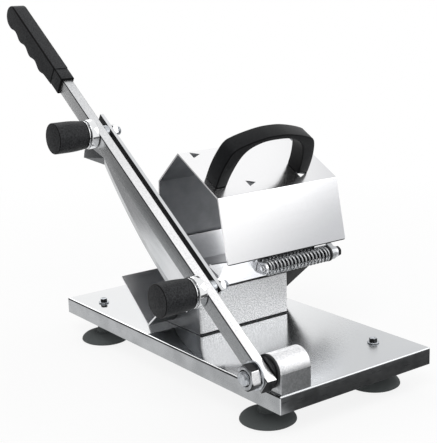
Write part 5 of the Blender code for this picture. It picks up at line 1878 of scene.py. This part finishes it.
@dataclass
class BladeClamp:
    """One blade clamp: stud, nut, spacer, collar, ring, knob and threaded insert."""

    which: Clamp
    arm_front: float = -0.0120
    blade_back: float = 0.0065
    stud: float = 0.0040
    collar_radius: float = 0.0134
    collar_length: float = 0.0080
    collar_edge: float = 0.0011
    ring_radius: float = 0.0128
    ring_sheet: float = 0.0012
    standoff: float = 0.0009
    knob_radius: float = 0.0140
    knob_rear: float = 0.0128
    knob_length: float = 0.0300
    knob_edge: float = 0.0014
    waist_share: float = 0.45
    knob_dome: float = 0.0006
    knob_tip: float = 0.0003
    knob_rim: float = 0.0018
    recess: float = 0.0008
    recess_radius: float = 0.0066
    recess_floor: float = 0.0064
    recess_bore: float = 0.0045
    stud_reach: float = 0.0150
    stud_proud: float = 0.0050
    thread_pitch: float = 0.00125
    nut_height: float = 0.0045
    nut_flats: float = 0.0120
    shim_radius: float = 0.0085

    def ring_front(self) -> float:
        """Return the outer face of the thin ring under the knob."""
        return self.arm_front - GAP - self.collar_length - self.standoff - self.ring_sheet

    def knob(self) -> Surface:
        """Return the knob: slightly domed face, straight grip, and a taper to the rear.

        The taper's radius falls by one minus a cosine from the waist on.

        Returns:
            The knob, along X.
        """
        rear = self.ring_front() - GAP
        front = rear - self.knob_length
        share = np.linspace(0, 1, 9)
        face = np.column_stack((
            front - self.knob_dome + self.knob_dome * share ** 2,
            self.knob_tip + (self.knob_radius - self.knob_rim) * share,
        ))
        lip = rounded(np.array([
            face[-1], (front, self.knob_radius), (front + self.knob_edge * 2, self.knob_radius),
        ]), self.knob_edge, 5)[1:]
        waist = front + self.knob_length * self.waist_share
        taper = np.linspace(0, 1, 14)
        drop = (self.knob_radius - self.knob_rear) * (1 - np.cos(math.pi / 2 * taper))
        side = np.column_stack((
            waist + (rear - self.knob_edge / 2 - waist) * taper, self.knob_radius - drop,
        ))
        floor = rear - self.recess
        end = rounded(np.array([
            side[-1], (rear, self.knob_rear - self.knob_edge / 2), (rear, self.recess_radius),
            (floor, self.recess_floor), (floor, self.recess_bore),
        ]), EDGE, 2)[1:]
        return lathe(np.vstack((face, lip, side, end)))

    def build(self) -> None:
        """Build the clamp on the arm, and its knob on the knob's own body.

        The slopes of the chromed pieces mirror dark, so they are painted black.
        """
        label = self.which.name.lower()
        place = ARM_PLACE @ Matrix.Translation((0, self.which.value, 0))
        bore = self.stud + GAP
        nut_low = self.blade_back + GAP
        nut_high = nut_low + self.nut_height
        front = self.ring_front()
        plain = lathe(rounded(np.array([
            (front - self.stud_reach, PIP), (front - self.stud_reach, self.stud),
            (self.blade_back, self.stud), (self.blade_back, PIP),
        ]), EDGE, 2))
        thread = threaded_rod(
            self.blade_back - OVERLAP, nut_high + self.stud_proud, self.stud, self.thread_pitch
        )
        nut = hexagon_nut(nut_low, nut_high, self.nut_flats, bore)
        rear = self.arm_front - GAP
        collar = ring(rear - self.collar_length, rear, bore, self.collar_radius, self.collar_edge)
        step = front + self.ring_sheet
        shim = step + self.standoff - GAP
        disc = lathe(rounded(np.array([
            (front, bore), (front, self.ring_radius), (step, self.ring_radius),
            (step, self.shim_radius), (shim, self.shim_radius), (shim, bore),
        ]), EDGE, 2, closed=True), looped=True)
        for name, surface, finish, slot, node in (
            ("stud_", plain + thread, ZINC, Slot.ZINC, "clamp_stud_"),
            ("nut_", nut, CHROME, Slot.CHROME, "clamp_nut_"),
            ("spring_collar_", collar, CHROME, Slot.CHROME, "collar_"),
            ("ring_", disc, CHROME, Slot.CHROME, "knob_ring_"),
        ):
            made = make_piece(
                name + label, surface.moved(place), finish, Body.ARM, (node + label,)
            )
            if finish is CHROME:
                _, normals = face_table(made, place)
                slope = np.abs(normals[:, 0])
                paint_faces(made, BLACK_OXIDE_AND_PAINTED_SHADE, (slope > 0.3) & (slope < 0.95))
        knob = make_piece(
            "turn_knob_" + label, self.knob().moved(place), BLACK_ABS,
            Body("knob_" + label), ("knob_" + label,),
        )
        # Painted shade on the rounded edge of the knob's face.
        _, normals = face_table(knob, place)
        paint_faces(knob, ABS_PAINTED_SHADE, (normals[:, 0] < -0.3) & (normals[:, 0] > -0.93))
        dress(BRASS, "knob_insert_" + label)
        dress(ZINC, "blade_spacer_" + label)


@dataclass
class GuideRod:
    """The rod beside the trough with its lugs, nut and return spring."""

    radius: float = 0.0030
    front: float = 0.0976
    lug_sheet: float = 0.0025
    front_lug: float = 0.0985
    rear_lug: float = 0.1852
    spring_front: float = 0.1013
    spring_rear: float = 0.1766
    coil: float = 0.0065
    wire: float = 0.0020
    turns: float = 18.0
    slide: float = 0.032
    turn_steps: int = 40
    close_pitch: float = 1.08
    smooth: float = math.radians(60)
    edge: float = 0.0006
    pip: float = 0.0004
    nut_height: float = 0.0040
    nut_flats: float = 0.0090

    def spring(self) -> Surface:
        """Return the spring: one wire wound as a helix with a closed turn at each end.

        The place along X moves a little more than one wire thickness in the first and
        last turn, and evenly in between. The angle grows evenly throughout.

        Returns:
            The spring, along X.
        """
        turn = np.linspace(0, self.turns, int(self.turns * self.turn_steps) + 1)
        low, high = self.spring_front + self.wire / 2, self.spring_rear - self.wire / 2
        close = self.wire * self.close_pitch
        along = np.interp(
            turn, (0, 1, self.turns - 1, self.turns), (low, low + close, high - close, high)
        )
        angle = math.tau * turn
        path = np.column_stack((along, self.coil * np.cos(angle), self.coil * np.sin(angle)))
        return tube(path, self.wire / 2)

    def build(self) -> None:
        """Build the rod, its nut and the spring, and dress the lugs."""
        nut_low = self.rear_lug + self.lug_sheet + GAP
        nut_high = nut_low + self.nut_height
        end = nut_high + self.edge
        rod = lathe(rounded(np.array([
            (self.front, self.pip), (self.front, self.radius), (end, self.radius),
            (end, self.pip),
        ]), self.edge, 3))
        made = make_piece(
            "slide_rod", rod.moved(ROD_PLACE), ROD_PAINTED_SHADE, Body.FRAME,
            ("guide_rod",),
        )
        # The rod is painted dark as the spring's shade; its front end, outside the spring, keeps a
        # bright polish.
        middles, _ = face_table(made, ROD_PLACE)
        paint_faces(made, COVER_POLISH_AND_PAINTED_SHADE, middles[:, 0] < self.front_lug + self.lug_sheet)
        nut = hexagon_nut(nut_low, nut_high, self.nut_flats, self.radius + GAP)
        make_piece(
            "slide_rod_nut", nut.moved(ROD_PLACE), BLACK_OXIDE_AND_PAINTED_SHADE, Body.FRAME, ("rod_nut",)
        )
        spring = make_piece(
            "coil_spring", self.spring().moved(ROD_PLACE), SPRING_WIRE, Body.FRAME,
            ("return_spring",), self.smooth,
        )
        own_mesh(spring)
        dress(COVER_POLISH_AND_PAINTED_SHADE, "rod_lug_front", "rod_lug_rear")


@dataclass
class PressCover:
    """The folded cover with its teeth, knuckle and sliding bush."""

    front: float = 0.0600
    length: float = 0.1430
    sheet: float = 0.0015
    near: Pair = (0.1430, 0.0630)
    fold: Pair = (0.1555, 0.1230)
    ridge: Pair = (0.2170, 0.1570)
    far_fold: Pair = (0.2520, 0.1260)
    far: Pair = (0.2560, 0.0630)
    corner: float = 0.0020
    tooth_width: float = 0.0085
    tooth_length: float = 0.0095
    tooth_tip: float = 0.0008
    tooth_bend: float = 0.0012
    tooth_angle: float = math.radians(84)
    tooth_thinning: float = 0.45
    fold_bend: float = 0.0024
    burr: float = 0.0009
    inward_reach: float = 0.0040
    teeth: tuple[Pair, ...] = (
        (0.0120, 0.0635), (0.0730, 0.0635), (0.1340, 0.0635), (0.0430, 0.0135), (0.1040, 0.0135),
    )

    def roof_place(self) -> Matrix:
        """Return the place of the near roof's outer face at the cover's front edge.

        Returns:
            The place.
        """
        angle = math.atan2(self.ridge[1] - self.fold[1], self.ridge[0] - self.fold[0])
        corner = BASE_PLACE @ Matrix.Translation((self.front, *self.fold))
        return corner @ Matrix.Rotation(angle, 4, "X")

    def shape(self) -> Surface:
        """Return the folded cover with its punched openings.

        An opening is a triangle in the flat sheet, past the near fold by its distance
        up the roof.

        Returns:
            The folded sheet.
        """
        section = np.array([self.near, self.fold, self.ridge, self.far_fold, self.far])
        sheet = FoldedSheet(section, self.fold_bend, self.sheet)
        end = sheet.corner_distance(4)
        front, rear = self.front, self.front + self.length
        outline = np.array([(front, 0), (front, end), (rear, end), (rear, 0)])
        outline = rounded(outline, self.corner, 5, closed=True)
        start = sheet.corner_distance(1)
        half = self.tooth_width / 2
        holes = [
            np.array([
                (front + x, start + s - half), (front + x, start + s + half),
                (front + x + self.tooth_length, start + s),
            ])
            for x, s in self.teeth
        ]
        creases = [
            np.array([(front, self.burr), (rear, self.burr)]),
            np.array([(front, end - self.burr), (rear, end - self.burr)]),
        ]
        return sheet.folded(outline, holes, creases)

    def tooth(self, x: float, s: float) -> Surface:
        """Return one tooth: the punched triangle, bent down round a small radius.

        The bend's centre lies under the roof, and the tooth's width falls evenly
        towards its tip, as its thickness does.

        Args:
            x: its root's place along the roof.
            s: its root's place up the roof.

        Returns:
            The tooth, in the roof's place.
        """
        bend = self.tooth_bend
        angle = np.linspace(0, self.tooth_angle, 8)
        arc = np.column_stack((-bend * np.sin(angle), -bend * (1 - np.cos(angle))))
        reach = np.linspace(0, 1, 5)[1:] * (self.tooth_length - OVERLAP)
        down = arc[-1] - np.outer(reach, (math.cos(self.tooth_angle), math.sin(self.tooth_angle)))
        middle = np.vstack((arc, down))
        share = np.linspace(0, 1, len(middle))
        half = self.tooth_width / 2 * (1 - share) + self.tooth_tip / 2 * share
        thick = self.sheet / 2 * (1 - self.tooth_thinning * share)
        heading = np.gradient(middle, axis=0)
        heading /= np.linalg.norm(heading, axis=1)[:, None]
        side = np.column_stack((heading[:, 1], -heading[:, 0]))
        rows = []
        for sign_thick, sign_half in ((-1, -1), (-1, 1), (1, 1), (1, -1)):
            flat = middle + side * (thick * sign_thick)[:, None]
            rows.append(np.column_stack((flat[:, 0], half * sign_half, flat[:, 1])))
        surface = closed_grid(np.stack(rows, axis=1))
        return surface.moved(Matrix.Translation((x, s, -self.sheet / 2)))

    def paint(self, cover: Piece, sheet_faces: int) -> None:
        """Give the inside its mill finish and painted shade, and paint shade on the teeth and lower
        edges.

        A face is inside where its normal points to the middle of the feed bay.

        Args:
            cover: the cover, whose teeth's faces come last.
            sheet_faces: how many faces the folded sheet has.
        """
        middles, normals = face_table(cover, BASE_PLACE)
        core = np.array([0.0, self.ridge[0], (self.near[1] + self.fold[1]) / 2])
        inward = ((core - middles) * (0, 1, 1) * normals).sum(axis=1) > self.inward_reach
        # The inside's dark grey is partly painted shade.
        paint_faces(cover, COVER_INSIDE, inward & (np.abs(normals[:, 0]) < LEANING))
        # Painted shade: a dark band along the lower edges, and on the teeth.
        low = middles[:, 2] < self.near[1] + self.burr * 0.95
        paint_faces(cover, DARK_PAINTED_SHADE, low | (np.arange(len(low)) >= sheet_faces))

    def build(self) -> None:
        """Build the cover with its teeth, and dress the knuckle and the bush."""
        surface = self.shape().moved(BASE_PLACE)
        sheet_faces = len(surface.faces)
        for x, s in self.teeth:
            surface += self.tooth(x, s).moved(self.roof_place())
        cover = make_piece(
            "cover", surface, COVER_POLISH_AND_PAINTED_SHADE, Body.COVER, ("press_cover",),
            FOLD_ANGLE,
        )
        self.paint(cover, sheet_faces)
        soften_edges(cover, FINE_EDGE)
        dress(LIP_BRUSHED, "cover_knuckle")
        dress(NYLON, "slide_bush")


@dataclass
class BowHandle:
    """The moulded bow handle on the cover's near roof."""

    roof: Matrix
    centre: float = 0.0615
    width: float = 0.1100
    height: float = 0.0512
    depth: float = 0.0180
    setback: float = 0.0135
    edge: float = 0.0012
    outer: tuple[Pair, ...] = (
        (1.000, 0.000), (0.996, 0.270), (0.955, 0.520), (0.870, 0.775),
        (0.720, 0.850), (0.530, 0.912), (0.340, 0.960), (0.150, 0.992),
    )
    inner: tuple[Pair, ...] = (
        (0.775, 0.000), (0.765, 0.200), (0.715, 0.455), (0.640, 0.655),
        (0.530, 0.772), (0.385, 0.846), (0.200, 0.896),
    )

    def smooth_line(self, shares: tuple[Pair, ...], times: int = 3) -> Points:
        """Return a half outline and its mirror image, with its corners cut a few times.

        Args:
            shares: the half outline, in shares of half the width and of the height.
            times: how many times its corners are cut.

        Returns:
            The line.
        """
        half = np.array(shares)
        line = np.vstack((half, half[::-1] * (-1, 1))) * (self.width / 2, self.height)
        for _ in range(times):
            ahead = np.diff(line, axis=0)
            cut = np.stack((line[:-1] + ahead * 0.25, line[:-1] + ahead * 0.75), axis=1)
            line = np.vstack((line[:1], cut.reshape(-1, 2), line[-1:]))
        clear = line[:, 1] > 2 * self.edge
        return np.vstack((line[:1], line[clear], line[-1:]))

    def shape(self) -> Surface:
        """Return the handle: the closed outline carried across with rounded edges.

        Returns:
            The handle, in the roof's place.
        """
        outline = np.vstack((self.smooth_line(self.outer), self.smooth_line(self.inner)[::-1]))
        outline *= (-1, 1)
        across = carried(outline, round_ends(0, self.depth, self.edge, 5))
        return across.moved(Matrix.Translation((self.centre, self.setback, GAP)) @ SWAPPED)

    def build(self) -> None:
        """Build the handle, paint shade on its edges and opening, and dress its screws."""
        bow = make_piece(
            "bow", self.shape().moved(self.roof), BOW_ABS, Body.COVER,
            ("bow_handle",),
        )
        middles, normals = face_table(bow, self.roof)
        # Painted shade on the handle's rounded edges and on the faces of its opening.
        core = np.array([self.centre, 0, 0])
        inward = ((core - middles) * (1, 0, 1) * normals).sum(axis=1) > 0
        side = np.abs(normals[:, 1])
        paint_faces(bow, ABS_PAINTED_SHADE, (side < 0.93) & ((side > 0.3) | inward))
        dress(ZINC, "bow_screw_1", "bow_screw_2")


# Studio


@dataclass
class Studio:
    """A plain pale floor, soft lamps and a camera at the photograph's angle."""

    floor_size: float = 40.0
    floor_tone: str = "#F6F6F6"
    floor_glow: float = 0.84
    shade_reach: Pair = (0.35, 0.90)
    ambient: float = 0.62
    camera_place: Spot = (-0.54838, -0.777954, 0.35391)
    right: Spot = (0.80337, -0.59472, -0.02984)
    up: Spot = (0.16027, 0.16769, 0.97271)
    ahead: Spot = (0.57350, 0.78624, -0.23004)
    lens: float = 84.28
    aim: Spot = (0.0, 0.0, 0.12)
    lamps: tuple[tuple[str, Spot, float, float], ...] = (
        ("key_lamp", (-1.1, -1.0, 1.9), 1.3, 17.0),
        ("fill_lamp", (1.6, -1.2, 1.2), 1.4, 9.0),
        ("rear_lamp", (0.6, 1.8, 1.6), 1.2, 8.0),
    )
    cards: tuple[tuple[str, tuple[Spot, ...], str], ...] = (
        (
            "left_card", ((-0.36, -0.5, 0), (-0.36, 1.3, 0), (-0.36, 1.3, 0.5), (-0.36, -0.5, 0.5)),
            "#9A9A9A",
        ),
        (
            "front_mat", (
                (-0.05, -0.62, 0.001), (0.5, -0.62, 0.001), (0.5, -0.205, 0.001),
                (-0.05, -0.205, 0.001),
            ), "#5A5A5A",
        ),
    )

    def seen_directly(self, tree: Tree) -> Socket:
        """Return one for camera, glossy and transmission rays, and zero for others.

        Args:
            tree: the node tree that gets the nodes.

        Returns:
            The value.
        """
        path = add_node(tree, "LightPath").outputs
        pair = add_node(
            tree, "Math", {0: path["Is Camera Ray"], 1: path["Is Glossy Ray"]}, operation="MAXIMUM"
        ).outputs[0]
        return add_node(
            tree, "Math", {0: pair, 1: path["Is Transmission Ray"]}, operation="MAXIMUM"
        ).outputs[0]

    def world(self) -> None:
        """Light the object evenly, and show white behind it."""
        world = bpy.data.worlds.new("studio_world")
        world.use_nodes = True
        tree = world.node_tree
        tree.nodes.clear()
        lit = add_node(tree, "Background", {"Color": WHITE, "Strength": self.ambient})
        shown = add_node(tree, "Background", {"Color": WHITE})
        mixed = add_node(
            tree, "MixShader",
            {0: self.seen_directly(tree), 1: lit.outputs[0], 2: shown.outputs[0]},
        )
        add_node(tree, "OutputWorld", {"Surface": mixed.outputs[0]})
        bpy.context.scene.world = world

    def floor(self) -> None:
        """Lay the floor: pale and matt, lifted towards white where it is seen.

        Away from the object all of it is white, so that no horizon shows.
        """
        half = self.floor_size / 2
        mesh = bpy.data.meshes.new("studio_floor")
        corners = [(-half, -half, 0), (half, -half, 0), (half, half, 0), (-half, half, 0)]
        mesh.from_pydata(corners, [], [(0, 1, 2, 3)])
        floor = add_object("studio_floor", mesh)
        material = bpy.data.materials.new("pale_floor_paper")
        material.use_nodes = True
        tree = material.node_tree
        shader = tree.nodes["Principled BSDF"]
        shader.inputs["Base Color"].default_value = linear(self.floor_tone)
        shader.inputs["Roughness"].default_value = 0.9
        shader.inputs["Specular IOR Level"].default_value = 0.0
        glow = add_node(tree, "Emission", {"Color": WHITE})
        place = add_node(tree, "TexCoord").outputs["Object"]
        away = add_node(tree, "VectorMath", {0: place}, operation="LENGTH").outputs["Value"]
        near, far = self.shade_reach
        lift = add_node(
            tree, "MapRange",
            {"Value": away, "From Min": near, "From Max": far, "To Min": self.floor_glow},
        ).outputs[0]
        share = add_node(
            tree, "Math", {0: self.seen_directly(tree), 1: lift}, operation="MULTIPLY"
        )
        mixed = add_node(
            tree, "MixShader", {0: share.outputs[0], 1: shader.outputs[0], 2: glow.outputs[0]}
        )
        tree.links.new(mixed.outputs[0], tree.nodes["Material Output"].inputs["Surface"])
        mesh.materials.append(material)

    def lamp(self, name: str, place: Spot, size: float, power: float) -> None:
        """Hang a square soft lamp that faces the object.

        Args:
            name: its name.
            place: where it hangs.
            size: the length of its side.
            power: its power in watts.
        """
        light = bpy.data.lights.new(name, "AREA")
        light.size = size
        light.energy = power
        hung = add_object(name, light)
        hung.location = place
        aim = Vector(self.aim) - Vector(place)
        hung.rotation_euler = aim.to_track_quat("-Z", "Y").to_euler()

    def card(self, name: str, corners: tuple[Spot, ...], tone: str) -> None:
        """Stand a card that only reflections show, as photographers shade bright metal.

        Args:
            name: its name.
            corners: its four corners.
            tone: its colour.
        """
        mesh = bpy.data.meshes.new(name)
        mesh.from_pydata(corners, [], [(0, 1, 2, 3)])
        card = add_object(name, mesh)
        material = bpy.data.materials.new(name)
        material.use_nodes = True
        tree = material.node_tree
        tree.nodes.clear()
        glow = add_node(tree, "Emission", {"Color": linear(tone)})
        add_node(tree, "OutputMaterial", {"Surface": glow.outputs[0]})
        mesh.materials.append(material)
        card.visible_camera = False
        card.visible_diffuse = False
        card.visible_shadow = False
        card.visible_transmission = False

    def camera(self) -> None:
        """Set the camera that matches the photograph."""
        data = bpy.data.cameras.new("photo_camera")
        data.lens = self.lens
        data.sensor_width = 36.0
        data.clip_start = 0.01
        data.clip_end = 200.0
        camera = add_object("photo_camera", data)
        back = -Vector(self.ahead)
        matrix = Matrix((self.right, self.up, back)).transposed().to_4x4()
        matrix.translation = self.camera_place
        camera.matrix_world = matrix
        bpy.context.scene.camera = camera

    def build(self) -> None:
        """Build the whole studio."""
        bpy.context.scene.view_settings.view_transform = "Standard"
        self.camera()
        self.world()
        self.floor()
        for card in self.cards:
            self.card(*card)
        for lamp in self.lamps:
            self.lamp(*lamp)


def main() -> None:
    """Build every sub-assembly in order."""
    logging.basicConfig(level=logging.INFO, format="%(name)s: %(message)s")
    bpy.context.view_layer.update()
    Studio().build()
    BaseTray().build()
    Stand().build()
    FeedTrough().build()
    Pivot().build()
    LeverArm().build()
    Blade().build()
    for which in Clamp:
        BladeClamp(which).build()
    GuideRod().build()
    cover = PressCover()
    cover.build()
    BowHandle(cover.roof_place()).build()


if __name__ == "__main__":
    main()
